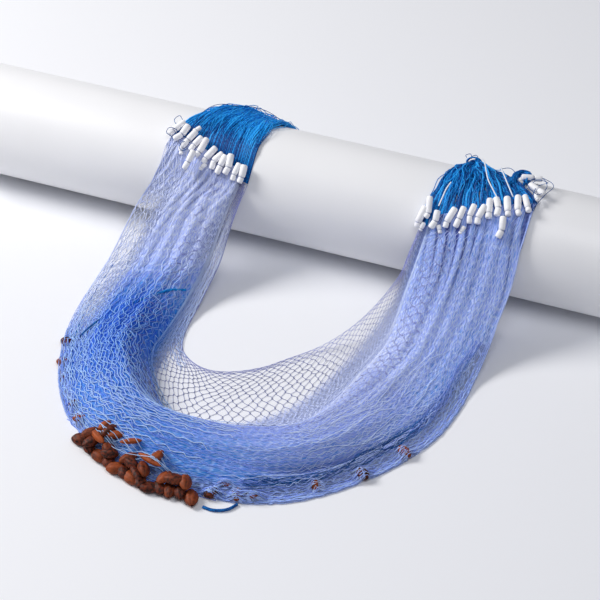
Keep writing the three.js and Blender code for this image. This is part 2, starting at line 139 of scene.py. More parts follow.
FINE_STEPS = 40  # steps in one section where lengths are measured
CREST_SKEW = 0.62
CREST_FULLNESS = 0.7
# How far the crest moves out and its inner slope eases beside the open web
EASED_CREST = table("section share", [
    [6, 0],
    [8, 1],
    [11, 1],
    [13.5, 0],
])
EASED_SKEW = 0.88
EASED_FULLNESS = 0.95
FOLDS = table("across height width start end", [
    [0.1, 4, 0.06, 0.4, 4.5],
    [0.27, 4.5, 0.07, 0.4, 6],
    [0.45, 5, 0.06, 0.4, 7],
    [0.62, 4.5, 0.07, 0.4, 6.5],
    [0.8, 4, 0.06, 0.4, 5],
    [0.3, 5, 0.09, 5, 10],
    [0.62, 5, 0.08, 7, 13],
    [0.85, 4, 0.05, 9, 15],
    [0.22, 4, 0.07, 10, 17.6],
    [0.4, 4.5, 0.06, 12, 17.6],
    [0.56, 4, 0.06, 13, 17.6],
    [0.74, 4.5, 0.07, 13, 17.6],
    [0.9, 3, 0.05, 14.5, 17.6],
])
PLEATS = 10.5  # across the webbing at each float row
PLEAT_PULL = 0.4
PLEAT_HEIGHT = 2.8
PLEAT_SLANTS = 0.14, 0.03  # how far across a pleat moves in one section, left and right
PLEAT_CREASE_SHADES = 0.8, 1.8  # strength of the shade painted in the creases between them, left and right
PLEAT_WAVER = 0.2, 1.2, 9  # how far the pleats waver, and how fast along and across
PLEAT_SHARPNESS = 0.3
PLEAT_UNEVEN = 0.55, 0.45, 5  # middle, swing and step of the pleats' heights
# How sharp and how uneven the painted shade in the pleats' creases is
PLEAT_SHADE_SHARPNESS = 3
PLEAT_SHADE_UNEVEN = 0.5, 0.5, 7
# Sections from an end over which the pull ends, the pleats rise, settle by half and end, and the painted
# shade in their creases ends
PULL_ENDS = 0, 1.6
PLEATS_RISE = 0, 0.4
PLEATS_SETTLE = 0.6, 2
PLEATS_END = 2, 4.2
PLEAT_SHADES_END = 1, 3.6
TUCK = 15  # how far the threads run up under the floats
TUCK_REACH = 0.7
CREASE = table("section across", [
    [10.2, 0.76],
    [11, 0.8],
    [12, 0.85],
    [12.5, 0.88],
    [14, 0.9],
])
CREASE_DEPTH = 0.34
CREASE_WIDTH = 0.05
# Strength of the shade painted along the long crease
CREASE_SHADE = 1.8

# Place across of the net's outer edge, past the bundle's own where a flap lies on the floor
OUTER_EDGE = table("section across", [
    [4, 1],
    [5, 1.05],
    [7.4, 1.05],
    [8.2, 1],
    [9.2, 1],
    [10.4, 1.1],
    [13.6, 1.1],
    [15, 1],
])

# A thread at each row of knots: distance from the row in rows, share of its swing, thickness
PLAIN_THREAD = table("offset swing width", [[0, 1, 1]])
KNOTTED_THREAD = table("offset swing width", [
    [-0.27, 0.75, 1],
    [-0.18, 1, 1.4],
    [0.18, 1, 1.4],
    [0.27, 0.75, 1],
])
BENT_THREAD = table("offset swing width", [
    [-0.15, 1, 1.2],
    [0.15, 1, 1.2],
])
KNOT_REACH = 0.9  # share of a cell that a thread swings across
SLOW_DRIFT = 0.035  # slow wander of the threads, as a share of the width
SLOW_CELLS = 0.1, 5  # cells of the slow wander, to a row and across the whole width
STRAY_CELLS = 0.8  # of the knots' wander, to a row or a column
LOOSE_CELLS = 0.5  # of a loose thread's own wander, to a row
ROUGH_CELLS = 4, 14  # cells of the layers' roughness, to a section and to a step across
ROUGHNESS = 0.5, 0.15  # its height, and the most that it may be as a share of the bundle's
DRAWN_IN = dict(rise=(0.4, 2), fall=(10, 12), less=0.6)  # where the layers keep to their own outer edges
LIGHT_SPREAD = 0.1
THREAD_SEAT = 0.6  # height above what a thread lies on
WEB_SEAT = 0.5
WEB_LIFT = 0.12
WEB_MIDDLE = -0.4  # place across at which the open web's meshes are even
WEB_PITCH = 6.6
WEB_ROWS = 23
WEB_REACH = 0.3  # how far across the open web runs into the bundle
WEB_GATHER = 1.4  # above 1, the rows lie closer towards the inner edge
WEB_STRAY = 0.3
WEB_CELLS = 3, 6
WEB_RISE = 0, 0.06  # places across over which the open web climbs on to the bundle
# Where the open web's threads are pale: in the bundle, at its left and right ends and at its inner edge
WEB_PALE = dict(bundle=(-0.05, 0.3), left=(4, 8), right=(13, 16), edge=(-1, -0.8), edge_share=0.8)
EDGE_THREADS = 3
EDGE_WIDTH = 0.06
EDGE_SIZE = 0.6  # thickness of the edge threads, as a share of the web's
EDGE_STEP = 6
EDGE_CELLS = 1.5
CORD_COVER = 3.2
CORD_COVER_REACH = 6
ARM_ENDS = {"left": (0, 6.2), "right": (10.4, LAST_SECTION)}

# How deep blue the gathered net looks along the U, and where it is bluer or paler besides
BLUENESS = table("section azure", [
    [0, 0],
    [2, 0.02],
    [3, 0.18],
    [4, 0.46],
    [5, 0.8],
    [6.5, 0.8],
    [8.5, 0.65],
    [10, 0.38],
    [11.5, 0.22],
    [13, 0.2],
    [15, 0.26],
    [18, 0.36],
])
AZURE_HEART = dict(section=5.2, across=0.35, reach=1.4, width=0.3, more=0.35)
OUTER_AZURE = dict(rise=(8, 10), fall=(13.5, 15.5), across=0.45, more=0.5)
PALE_EDGE = dict(across=(0.6, 0.9), fall=(4, 5.5), less=0.6)
PALE_WEB = dict(reach=(0, 0.4), less=0.4)
THREAD_TONES = 0.02, 0.96  # range of the tones on the threads' map
THREAD_MAP_WIDTH = 0.02

# Inner sheet: grid steps, place across of its inner edge, thickness, height as a share of the bundle's
INNER_STEPS = 200, 230
INNER_EDGE = -1.0
INNER_THICKNESS = 0.8
INNER_SHARE = 0.97
INNER_CELL = 0.013, 0.0028  # length and width of the fine meshes drawn on it
INNER_STREAK = 0.05, 0.003
INNER_FLECK = 0.009, 0.002
# Where the inner sheet starts to show and covers fully, as places across
INNER_FADE = table("section start full", [
    [0, -0.25, 0.05],
    [1.5, -0.3, 0.1],
    [2.8, -0.5, 0.32],
    [4, -1, -0.1],
    [5.2, -1.2, -0.2],
    [6.2, -0.6, 0.12],
    [6.8, -0.2, 0.2],
    [7.4, -0.05, 0.3],
    [8, -0.05, 0.3],
    [9, -0.06, 0.15],
    [10.5, -0.35, 0.15],
    [12, -0.7, 0.12],
    [13.5, -0.9, 0.05],
    [15, -0.85, -0.15],
    [16.5, -0.95, -0.4],
    [18, -0.95, -0.5],
])
# Where it thins out besides: in the sparse outer strip of the left arm and along the outer edge
INNER_THIN = (
    dict(rise=(0.8, 2), fall=(4.5, 6), across=(0.62, 0.82), less=0.97),
    dict(rise=(4.5, 5.5), fall=(14, 15), across=(0.88, 0.98), less=0.6),
)

# Head ropes: loops of rope, bound together at a head and spread to the floats
# painted_light: tone added along each strand, lighter over the tube and darker near the floats: painted
# light and shade
HEADS = {
    "left": dict(
        section=0, x=0, w=-130, spread_x=0, spread_w=22, straight=45, shorten=0.7, sweep=1.0, ease=0.6,
        stack=18, lean=2.4, waver=1.0, tone=0.6, frayed=110, painted_light=(0.95, -0.5),
    ),
    "right": dict(
        section=LAST_SECTION, x=246, w=-54, spread_x=14, spread_w=0, straight=14, shorten=0, sweep=0.2,
        ease=0, stack=11, lean=1.0, waver=0.6, tone=0.34, frayed=40, painted_light=(0, 0),
    ),
}
STRAND_HEIGHT = 2.4
STRAND_END_GAP = 2.5
STRAND_WAVER = 8
STRAND_CELLS = 7, 9
STRAND_STEPS = 26
STRAND_TAILS = 0.01, 0.07  # how far a strand runs on past its head, as a share of its length
STRAND_SIZES = 0.7, 1.2
STRAND_TONE_SPREAD = 0.42
STRAND_PAINTED_LIGHT = 0.65, 1  # shares of a strand's length over which its painted light turns to painted shade
CROWN_LEAST = 0.16  # least height of a bunch's sides, as a share of its crown's
FRAYED = dict(stand_off=3, restless=2.0)
FRAYED_SIZE = 1.2
FRAYED_TONES = 0.2, 1.2
BINDING_TURNS = 5
BINDING_STEPS = 24
BINDING_PITCH = 2.2
BINDING_SIZE = 2
BINDING_TONE = 0.4
BINDING_MARGINS = 3, 2  # beside and above the strands
BINDING_LIFT = 1.1
TWINE_STEPS = 30
TWINE_TONES = 0, 0.2
# Loose twine and white tape on the bunches: stops as x, w and h
TWINES = {
    "left": (
        [(-160, 48, 9), (-169, 44, 11), (-177, 41, 13), (-175, 35, 15), (-166, 34, 13), (-158, 40, 9)],
        [(-156, 30, 9), (-166, 28, 11), (-173, 22, 14), (-168, 15, 15), (-159, 22, 11), (-150, 30, 8)],
        [(-140, 52, 8), (-146, 58, 10), (-152, 56, 12), (-149, 48, 14), (-141, 46, 9)],
        [(-150, 30, 8), (-146, 22, 11), (-141, -2, 13), (-128, -28, 15), (-102, -42, 15), (-85, -70, 14)],
        [(-140, 26, 8), (-132, 8, 13), (-118, -14, 16), (-92, -40, 17), (-70, -64, 16), (-50, -90, 13)],
    ),
    "right": (
        [
            (322, 14, 9), (336, 2, 10), (344, -23, 11), (359, -21, 11), (348, -2, 13), (349, 16, 10),
            (354, 31, 6),
        ],
        [(330, -8, 10), (347, -27, 13), (361, -8, 12), (355, 9, 12), (343, 6, 14), (334, -6, 11)],
        [(352, 30, 5), (362, 4, 8), (368, -16, 9), (360, -30, 9), (346, -30, 12), (336, -18, 12)],
        [(234, -49, 13), (231, -54, 16), (235, -58, 19), (239, -54, 17), (240, -49, 13)],
        [(241, -49, 13), (240, -54, 16), (244, -58, 19), (248, -54, 17), (248, -49, 13)],
        [(288, -28, 12), (300, -32, 15), (312, -22, 14), (322, -6, 11)],
    ),
}
TAPES = (
    [(258, -40, 17), (266, -25, 18), (282, 6, 17), (294, 19, 15), (307, 31, 12)],
    [(290, -24, 16), (298, -11, 16), (308, 3, 15), (323, 21, 12)],
    [(235, 20, 12), (232, 32, 12), (231, 42, 12), (229, 54, 11)],
)
TAPE_STEPS = 24
TAPE_REACH = 1.8, 0.6  # half width and half thickness, as shares of the twine's diameter
TUFT = 20  # loops of the small bunch beside the right one
TUFT_STEPS = 20
TUFT_SHIFT = 4
TUFT_SIZE = 0.8
TUFT_TONES = 0.1, 0.5
TUFT_STOPS = [(312, -8, 5), (313, -24, 9), (319, -34, 12), (327, -30, 11), (331, -14, 7)]

# Floats: place of the middle, turn from straight down the net, rise above the lowest layer
FLOAT_HEIGHT = 8.9
FLOATS = {
    "left": table("x w turn rise", [
        [-167, 30, -28, 0],
        [-155, 36, -28, 0],
        [-143.5, 41, -24, 0],
        [-132, 45, -24, 0],
        [-131, 68, -16, 9.6],
        [-120.5, 49, -20, 0],
        [-109, 55, -20, 0],
        [-98, 60, -18, 0],
        [-87, 64, -12, 0.3],
        [-75.2, 62, -6, 0],
        [-64.5, 69, -8, 0.2],
        [-53, 70, -6, 0.3],
    ]),
    "right": table("x w turn rise", [
        [206.5, 71, -6, -0.9],
        [218, 58, -5, 0],
        [229.5, 71, -10, 0],
        [246, 64, -9, 0.3],
        [261, 61, -9, 0.8],
        [273.5, 54, 2, 0.4],
        [285.5, 52, -2, 0.6],
        [296.5, 42, 12, 0],
        [308, 37, 16, 0],
        [319.5, 34, 20, 0],
        [322, 62, -4, 2.4],
        [331.5, 30, 24, 0],
        [343.5, 24, 28, 0],
        [349, -2, 62, 0.7],
        [335, -24, 112, 2],
    ]),
}
# Short ends of floats between the rows
FLOAT_BITS = {
    "left": table("x w turn rise", [
        [-137, 26, -40, 0.5],
        [-150, 58, 20, -1.5],
        [-113, 72, -30, -1.5],
    ]),
    "right": table("x w turn rise", [
        [213, 84, -20, -1.5],
        [237, 82, 25, -1.5],
        [268, 76, -15, -1.5],
        [352, 12, 40, 0.5],
    ]),
}
BIT_LENGTH = 0.4
BIT_SIZE = 0.7
# Ranges of the floats' lengths, creases, thinner ends and radii, as shares, and the spread of their bends
FLOAT_LENGTHS = 0.86, 1.06
FLOAT_CREASES = 0.1, 0.6
FLOAT_ENDS = 0.82, 1
FLOAT_SIZES = 0.84, 1.0
FLOAT_BEND = 0.0022
# Outline of a float: share of its half length, share of its radius
FLOAT_OUTLINE = table("along radius", [
    [-1, 0.5],
    [-0.97, 0.8],
    [-0.9, 0.97],
    [-0.6, 1.02],
    [-0.2, 1],
    [-0.06, 0.94],
    [0, 0.62],
    [0.06, 0.94],
    [0.2, 1],
    [0.6, 1.02],
    [0.9, 0.97],
    [0.97, 0.8],
    [1, 0.5],
])

# Sinkers: place of the middle, turn about the vertical, tilt about the long axis
FLOOR_SEAT = 6.2
SINKERS = table("x y z turn tilt", [
    [-106, -506, FLOOR_SEAT, 100, 0],
    [-71, -525, FLOOR_SEAT, 70, 0],
    [-43, -538, FLOOR_SEAT, 115, 0],
    [-18.7, -546, FLOOR_SEAT, 60, 0],
    [11, -554, FLOOR_SEAT, 105, 0],
    [36.5, -549.2, FLOOR_SEAT, 20, 0],
    [68, -552, FLOOR_SEAT, 25, 0],
    [-87, -512.5, 16, 150, 30],
    [-60, -519, 16, 40, 35],
    [-30, -525, 17, 140, 40],
    [-4, -536.5, 17, 30, 35],
    [26, -540, 16, 160, 35],
    [55, -539, 17, 20, 30],
    [-70, -497, 26, 155, 45],
    [8, -522, 29, 165, 50],
    [-121, -474, 11, 120, 20],
    [-137, -453, 11, 110, 20],
    [-172, -404, FLOOR_SEAT, 105, 0],
    [-190, -380, FLOOR_SEAT, 95, 0],
    [-203, -342, FLOOR_SEAT, 80, 0],
    [88, -535, FLOOR_SEAT, 150, 0],
    [120, -526, FLOOR_SEAT, 15, 0],
    [206, -474, FLOOR_SEAT, 30, 0],
    [256, -436, FLOOR_SEAT, 50, 0],
    [293, -380, FLOOR_SEAT, 60, 0],
])
# Sinkers in the heap besides: also their length and width as shares, and how bright their clay is
MORE_SINKERS = table("x y z turn tilt length width bright", [
    [-93, -503, 20, 135, 25, 1, 0.85, 0.5],
    [-80, -509, 23, 56, 25, 1, 0.62, 1],
    [-60, -500, 25, 110, 30, 0.9, 0.7, 0.9],
    [-78, -490, 26, 150, 30, 0.8, 0.7, 1],
    [-33, -509, 31, 116, 20, 1.05, 0.5, 1],
    [2, -529, 29, 73, 15, 1.5, 0.55, 1],
    [-10, -548, 19, 45, 20, 1.1, 0.55, 0.2],
    [-56, -526, 17, 100, 20, 0.95, 0.9, 0.1],
    [-23, -533, 18, 60, 15, 0.95, 0.9, 0.3],
    [40, -541, 19, 100, 15, 1.15, 1, 0.4],
    [101, -519, 12, 100, 10, 0.9, 0.6, 0.8],
    [139, -523, 8, 115, 10, 0.9, 0.6, 0.7],
    [145, -493, 14, 105, 10, 0.9, 0.55, 0.9],
    # The low sinkers below, between those of the front row, have dark clay: painted shade in the gaps of the
    # heap
    [-90, -516, 7, 25, 10, 0.9, 0.85, 0.2],
    [-56, -531, 7, 20, 10, 0.9, 0.85, 0.3],
    [-30, -541, 7, 30, 10, 0.9, 0.85, 0],
    [-3, -549, 7, 15, 0, 0.9, 0.85, 0.3],
    [24, -551, 7, 40, 0, 0.9, 0.85, 0.1],
    [52, -550, 8, 25, 10, 0.9, 0.85, 0.2],
])
ALL_SINKERS = {name: np.concatenate([SINKERS[name], MORE_SINKERS[name]]) for name in SINKERS}
EDGE_SINKERS = (ALL_SINKERS["x"] < -115) | (ALL_SINKERS["x"] > 80)  # those that the net lies over
EDGE_SINKER_SIZE = 0.82
SINKER_REACH = 13.5, 9.5, 7
SINKER_LENGTHS, SINKER_WIDTHS = (
    np.concatenate([np.ones(len(SINKERS["x"])), MORE_SINKERS[name]])
    * np.where(EDGE_SINKERS, EDGE_SINKER_SIZE, 1)
    for name in ("length", "width")
)
SINKER_OUTLINE = table("along radius", [
    [-0.74, 0.1],
    [-0.97, 0.12],
    [-1, 0.17],
    [-0.94, 0.31],
    [-0.84, 0.48],
    [-0.66, 0.72],
    [-0.38, 0.92],
    [0, 1],
    [0.38, 0.92],
    [0.66, 0.72],
    [0.84, 0.48],
    [0.94, 0.31],
    [1, 0.17],
    [0.97, 0.12],
    [0.74, 0.1],
])
SINKER_SIZES = 0.92, 1.06
SINKER_FLATNESS = 1.2  # a narrow sinker is this many times its share of the width in thickness
SINKER_TONES = 0.1, 0.8
SINKER_GROOVES = 6
GROOVE_DEPTH = 0.1
GROOVE_TWIST = 0.8
GROOVE_SHARPNESS = 5
GROOVE_WEAR = 0.15

# Ropes: stops as section and place across the bundle, and the tail's stops on the floor
CORD_STEPS = 60
CORD_LINE_STEPS = 40
FOOT_ROPE_ACROSS = 0.9
FOOT_ROPE_STEPS = 90
FOOT_ROPE_CELLS = 2, 3
FOOT_ROPE_PART = 14  # how many radii of a foot line make up the cord's diameter
FOOT_ROPE_TONES = 0, 0.4
FOOT_ROPE_FADE = 12.2, 13.4
FOOT_ROPES = {
    "left": dict(start=3.2, end=6.6, rise=2.8, strands=3, fan=0.006, tone=0.35),
    "right": dict(start=10.4, end=14.6, rise=3.65, strands=10, fan=0.05, tone=-0.15),
}
TIE_ROUTE = table("section across rise", [
    [3.95, 0.02, 1],
    [4.1, 0.15, 1],
    [4.4, 0.3, -2.5],
    [4.75, 0.5, -3],
    [5.1, 0.7, 0.5],
    [5.35, 0.84, 1],
])
TAIL_ROUTE = table("x y", [
    [125, -538.6],
    [118, -550],
    [109, -556],
    [98, -559],
    [86, -558],
])


def lerp(a, b, t):
    return a + (b - a) * t


def smoothstep(value, low, high):
    """0 below low, 1 above high, and a smooth S between them."""
    t = np.clip((value - low) / (high - low), 0, 1)
    return t * t * (3 - 2 * t)


def between(value, rise, fall):
    """1 between two smooth steps, up over one range and down over the other, and 0 outside them."""
    return smoothstep(value, *rise) * (1 - smoothstep(value, *fall))


def by_section(columns, name, section):
    """A column of a table at any section, straight between its rows."""
    return np.interp(section, columns["section"], columns[name])


def from_end(section):
    """Sections from the nearer end of the webbing."""
    return np.minimum(section, LAST_SECTION - section)


def unit(vectors):
    return vectors / np.maximum(np.linalg.norm(vectors, axis=-1, keepdims=True), 1e-12)


def through(points, at):
    """Places on a smooth curve through points, at fractional indexes. Between two points it is a cubic whose
    end slopes come from the neighbours, weighed by the square roots of the chords."""
    points = np.asarray(points, float)
    before, after = 2 * points[:1] - points[1:2], 2 * points[-1:] - points[-2:-1]
    padded = np.concatenate([before, points, after])
    at = np.asarray(at, float)
    start = np.clip(np.floor(at).astype(int), 0, len(points) - 2)
    t = (at - start)[..., None]
    p0, p1, p2, p3 = (padded[start + k] for k in range(4))
    d0, d1, d2 = (
        np.sqrt(np.linalg.norm(b - a, axis=-1, keepdims=True)) for a, b in ((p0, p1), (p1, p2), (p2, p3))
    )
    slope1 = ((p1 - p0) / d0 - (p2 - p0) / (d0 + d1) + (p2 - p1) / d1) * d1
    slope2 = ((p2 - p1) / d1 - (p3 - p1) / (d1 + d2) + (p3 - p2) / d2) * d1
    square = 3 * (p2 - p1) - 2 * slope1 - slope2
    cube = 2 * (p1 - p2) + slope1 + slope2
    return p1 + slope1 * t + square * t**2 + cube * t**3


def smooth_route(stops, count):
    """A smooth run of count points through a route's stops."""
    return through(stops, np.linspace(0, len(stops) - 1, count))


def drape_samples():
    """The drape's line in the YZ plane, its slope and its length from the tube's top line: a circle's arc, a
    cubic with level and leaving handles, and a straight run on the floor."""
    radius = TUBE_RADIUS + DRAPE_LIFT
    angle = np.linspace(-BACK_REACH / radius, LEAVE_ANGLE, DRAPE_SAMPLES)
    arc = np.stack([-radius * np.sin(angle), TUBE_AXIS_Z + radius * np.cos(angle)], axis=1)
    leave = arc[-1]
    down = np.array([-math.cos(LEAVE_ANGLE), -math.sin(LEAVE_ANGLE)])
    landing = np.array([LANDING_Y, 0.0])
    t = np.linspace(0, 1, DRAPE_SAMPLES)[1:, None]
    ramp = (
        (1 - t) ** 3 * leave
        + 3 * t * (1 - t) ** 2 * (leave + SAG_HANDLE * down)
        + 3 * t**2 * (1 - t) * (landing + [SAG_HANDLE, 0])
        + t**3 * landing
    )
    run = landing - np.linspace(0, FLOOR_REACH, DRAPE_SAMPLES)[1:, None] * [1, 0]
    line = np.concatenate([arc, ramp, run])
    steps = np.linalg.norm(np.diff(line, axis=0), axis=1)
    along = np.concatenate([[0], np.cumsum(steps)]) - BACK_REACH
    return along, line, np.gradient(line, along, axis=0)


DRAPE_W, DRAPE_LINE, DRAPE_SLOPE = drape_samples()


def drape(x, w, h):
    """Points on the drape at x and w, raised by h along its normal, in metres."""
    y, z = (np.interp(w, DRAPE_W, DRAPE_LINE[:, k]) for k in range(2))
    run, fall = (np.interp(w, DRAPE_W, DRAPE_SLOPE[:, k]) for k in range(2))
    return np.stack(np.broadcast_arrays(x, y + h * fall, z - h * run), axis=-1) * MM


def rail(name):
    """Places along one long edge of the webbing, by section: x, w and the crest's height."""
    points = np.stack([SECTIONS[name + "_x"], SECTIONS[name + "_w"], SECTIONS["crest"]], axis=1)
    return lambda section: through(points, np.clip(section, 0, LAST_SECTION))


INNER_RAIL, RIM_RAIL, OUTER_RAIL = rail("inner"), rail("rim"), rail("outer")


def webbing_place(section, across):
    """Flat x and w in the webbing and the crest there: across is -1 at the inner edge, 0 at the rim of the
    bundle and 1 at its outer edge."""
    section, across = np.broadcast_arrays(section, across)
    rim = RIM_RAIL(section)
    side = np.where(across[..., None] < 0, INNER_RAIL(section), OUTER_RAIL(section))
    return np.moveaxis(lerp(rim, side, np.abs(across)[..., None]), -1, 0)


def webbing_top(section, across, crest):
    """Height of the webbing's top above the drape: a skewed sine crest with bell-shaped folds along it."""
    inside = np.clip(across, 0, 1)
    eased = by_section(EASED_CREST, "share", section)
    skew, fullness = lerp(CREST_SKEW, EASED_SKEW, eased), lerp(CREST_FULLNESS, EASED_FULLNESS, eased)
    hump = np.maximum(np.sin(np.pi * inside**skew), 0) ** fullness
    edge = lerp(EDGE_THICKNESS, WEB_THICKNESS, smoothstep(from_end(section), *EDGE_THINS))
    folds = 0
    for at, height, width, start, end in zip(*FOLDS.values()):
        strength = between(section, (start, start + 1), (end - 1, end))
        folds = folds + strength * height * np.exp(-(((across - at) / width) ** 2))
    return np.where(across <= 0, WEB_THICKNESS, edge + (crest + folds) * hump)


FINE_SECTION = np.linspace(0, LAST_SECTION, FINE_STEPS * LAST_SECTION + 1)


def lengths_along(across):
    """Distance along the webbing at fine steps of the section, at one place across."""
    x, w, _ = webbing_place(FINE_SECTION, across)
    steps = np.linalg.norm(np.diff(drape(x, w, 0), axis=0), axis=1) / MM
    return np.concatenate([[0], np.cumsum(steps)])


FINE_LENGTH = lengths_along(0.5)


def cord_line():
    """Flat x and w of points along the foot ropes and the tie cord, but not its ends, which go under."""
    stops = [np.stack([TIE_ROUTE["section"], TIE_ROUTE["across"]], axis=1)[2:-2]]
    for rope in FOOT_ROPES.values():
        section = np.linspace(rope["start"], rope["end"], CORD_LINE_STEPS)
        stops.append(np.stack([section, np.full(CORD_LINE_STEPS, FOOT_ROPE_ACROSS)], axis=1))
    section, across = np.concatenate([smooth_route(stop, CORD_LINE_STEPS) for stop in stops]).T
    return np.stack(webbing_place(section, across)[:2], axis=1)


CORD_LINE = cord_line()


def wander(rng, along, across):
    """A smooth random field from -1 to 1: random values on a grid of unit cells, blended by smooth steps."""
    along, across = np.maximum(along, 0), np.maximum(across, 0)
    values = rng.uniform(-1, 1, (int(along.max()) + 2, int(across.max()) + 2))
    i, j = along.astype(int), across.astype(int)
    u, v = smoothstep(along - i, 0, 1), smoothstep(across - j, 0, 1)
    near = lerp(values[i, j], values[i + 1, j], u)
    far = lerp(values[i, j + 1], values[i + 1, j + 1], u)
    return lerp(near, far, v)


def tubes(paths, radius, sides, up=(0.0, 0.0, 1.0), ahead=None):
    """Closed tubes along many paths at once: a ring stands square to its path at each point, with its own
    radius at each side where that is given, and a flat cap closes each end. Returns points, faces, and for
    each face corner its ring and its share of the way round."""
    count, steps, _ = paths.shape
    ahead = unit(np.gradient(paths, axis=1)) if ahead is None else np.broadcast_to(ahead, paths.shape)
    side = unit(np.cross(np.broadcast_to(up, paths.shape), ahead))
    over = np.cross(ahead, side)
    turn = np.arange(sides) + 0.5
    angle = 2 * np.pi * turn / sides
    ring = np.cos(angle)[:, None] * side[:, :, None] + np.sin(angle)[:, None] * over[:, :, None]
    reach = np.broadcast_to(radius, (count, steps, sides))[..., None]
    points = (paths[:, :, None] + reach * ring).reshape(-1, 3)
    index = np.arange(len(points)).reshape(count, steps, sides)
    following = np.roll(index, -1, axis=2)
    quads = np.stack([index[:, :-1], following[:, :-1], following[:, 1:], index[:, 1:]], axis=-1)
    caps = np.concatenate([index[:, 0, ::-1], index[:, -1]])
    quad_turn = np.broadcast_to(np.stack([turn, turn + 1, turn + 1, turn], axis=-1), quads.shape)
    cap_turn = np.concatenate([np.tile(turn[::-1], (count, 1)), np.tile(turn, (count, 1))])
    faces = [quads.reshape(-1, 4), caps]
    corners = np.concatenate([face.ravel() for face in faces])
    share = np.concatenate([quad_turn.ravel(), cap_turn.ravel()]) / sides
    return points, faces, corners // sides, share


def joined(*shapes):
    """Several sets of tubes with the same number of sides as one set."""
    points, quads, caps, rings, shares = [], [], [], [[], []], [[], []]
    vertices = ring_count = 0
    for shape_points, (shape_quads, shape_caps), ring, share in shapes:
        split = shape_quads.size
        points.append(shape_points)
        quads.append(shape_quads + vertices)
        caps.append(shape_caps + vertices)
        for part, piece in enumerate((slice(None, split), slice(split, None))):
            rings[part].append(ring[piece] + ring_count)
            shares[part].append(share[piece])
        vertices += len(shape_points)
        ring_count += len(shape_points) // shape_caps.shape[1]
    return (
        np.concatenate(points),
        [np.concatenate(quads), np.concatenate(caps)],
        np.concatenate(rings[0] + rings[1]),
        np.concatenate(shares[0] + shares[1]),
    )


def add_piece(name, shape, finish, slot, replaces=(), uv=None, uv_name="UVMap", **fields):
    """A mesh piece at the origin, smooth, riding on the body, with its finish and replaced nodes. Its slot
    is not used. A shape starts with its points and faces. Each field has a value for each point, for the
    finish to read."""
    points, faces = shape[:2]
    mesh = bpy.data.meshes.new(name)
    loops = np.concatenate([face.ravel() for face in faces])
    sizes = np.concatenate([np.full(len(face), face.shape[1]) for face in faces])
    mesh.vertices.add(len(points))
    mesh.vertices.foreach_set("co", points.astype(np.float32).ravel())
    mesh.loops.add(len(loops))
    mesh.loops.foreach_set("vertex_index", loops.astype(np.int32))
    mesh.polygons.add(len(sizes))
    mesh.polygons.foreach_set("loop_start", (np.cumsum(sizes) - sizes).astype(np.int32))
    mesh.update(calc_edges=True)
    if mesh.validate():
        raise RuntimeError(f"{name} has faces that are not valid")
    if uv is not None:
        layer = mesh.uv_layers.new(name=uv_name)
        layer.uv.foreach_set("vector", uv.astype(np.float32).ravel())
    for field, values in fields.items():
        mesh.attributes.new(field, "FLOAT", "POINT").data.foreach_set("value", values.astype(np.float32))
    mesh.shade_smooth()
    mesh.materials.append(finish)
    piece = bpy.data.objects.new(name, mesh)
    bpy.context.scene.collection.objects.link(piece)
    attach(piece, BODY)
    if replaces:
        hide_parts(*replaces)
    return piece


class Value:
    """A shader socket with arithmetic: an expression on it adds its Math nodes."""

    def __init__(self, finish, socket):
        self.finish = finish
        self.socket = socket

    def math(self, operation, first, second):
        return self.finish.node("ShaderNodeMath", {"operation": operation}, {0: first, 1: second})

    def __add__(self, other):
        return self.math("ADD", self, other)

    def __radd__(self, other):
        return self.math("ADD", other, self)

    def __sub__(self, other):
        return self.math("SUBTRACT", self, other)

    def __rsub__(self, other):
        return self.math("SUBTRACT", other, self)

    def __mul__(self, other):
        return self.math("MULTIPLY", self, other)

    def __rmul__(self, other):
        return self.math("MULTIPLY", other, self)


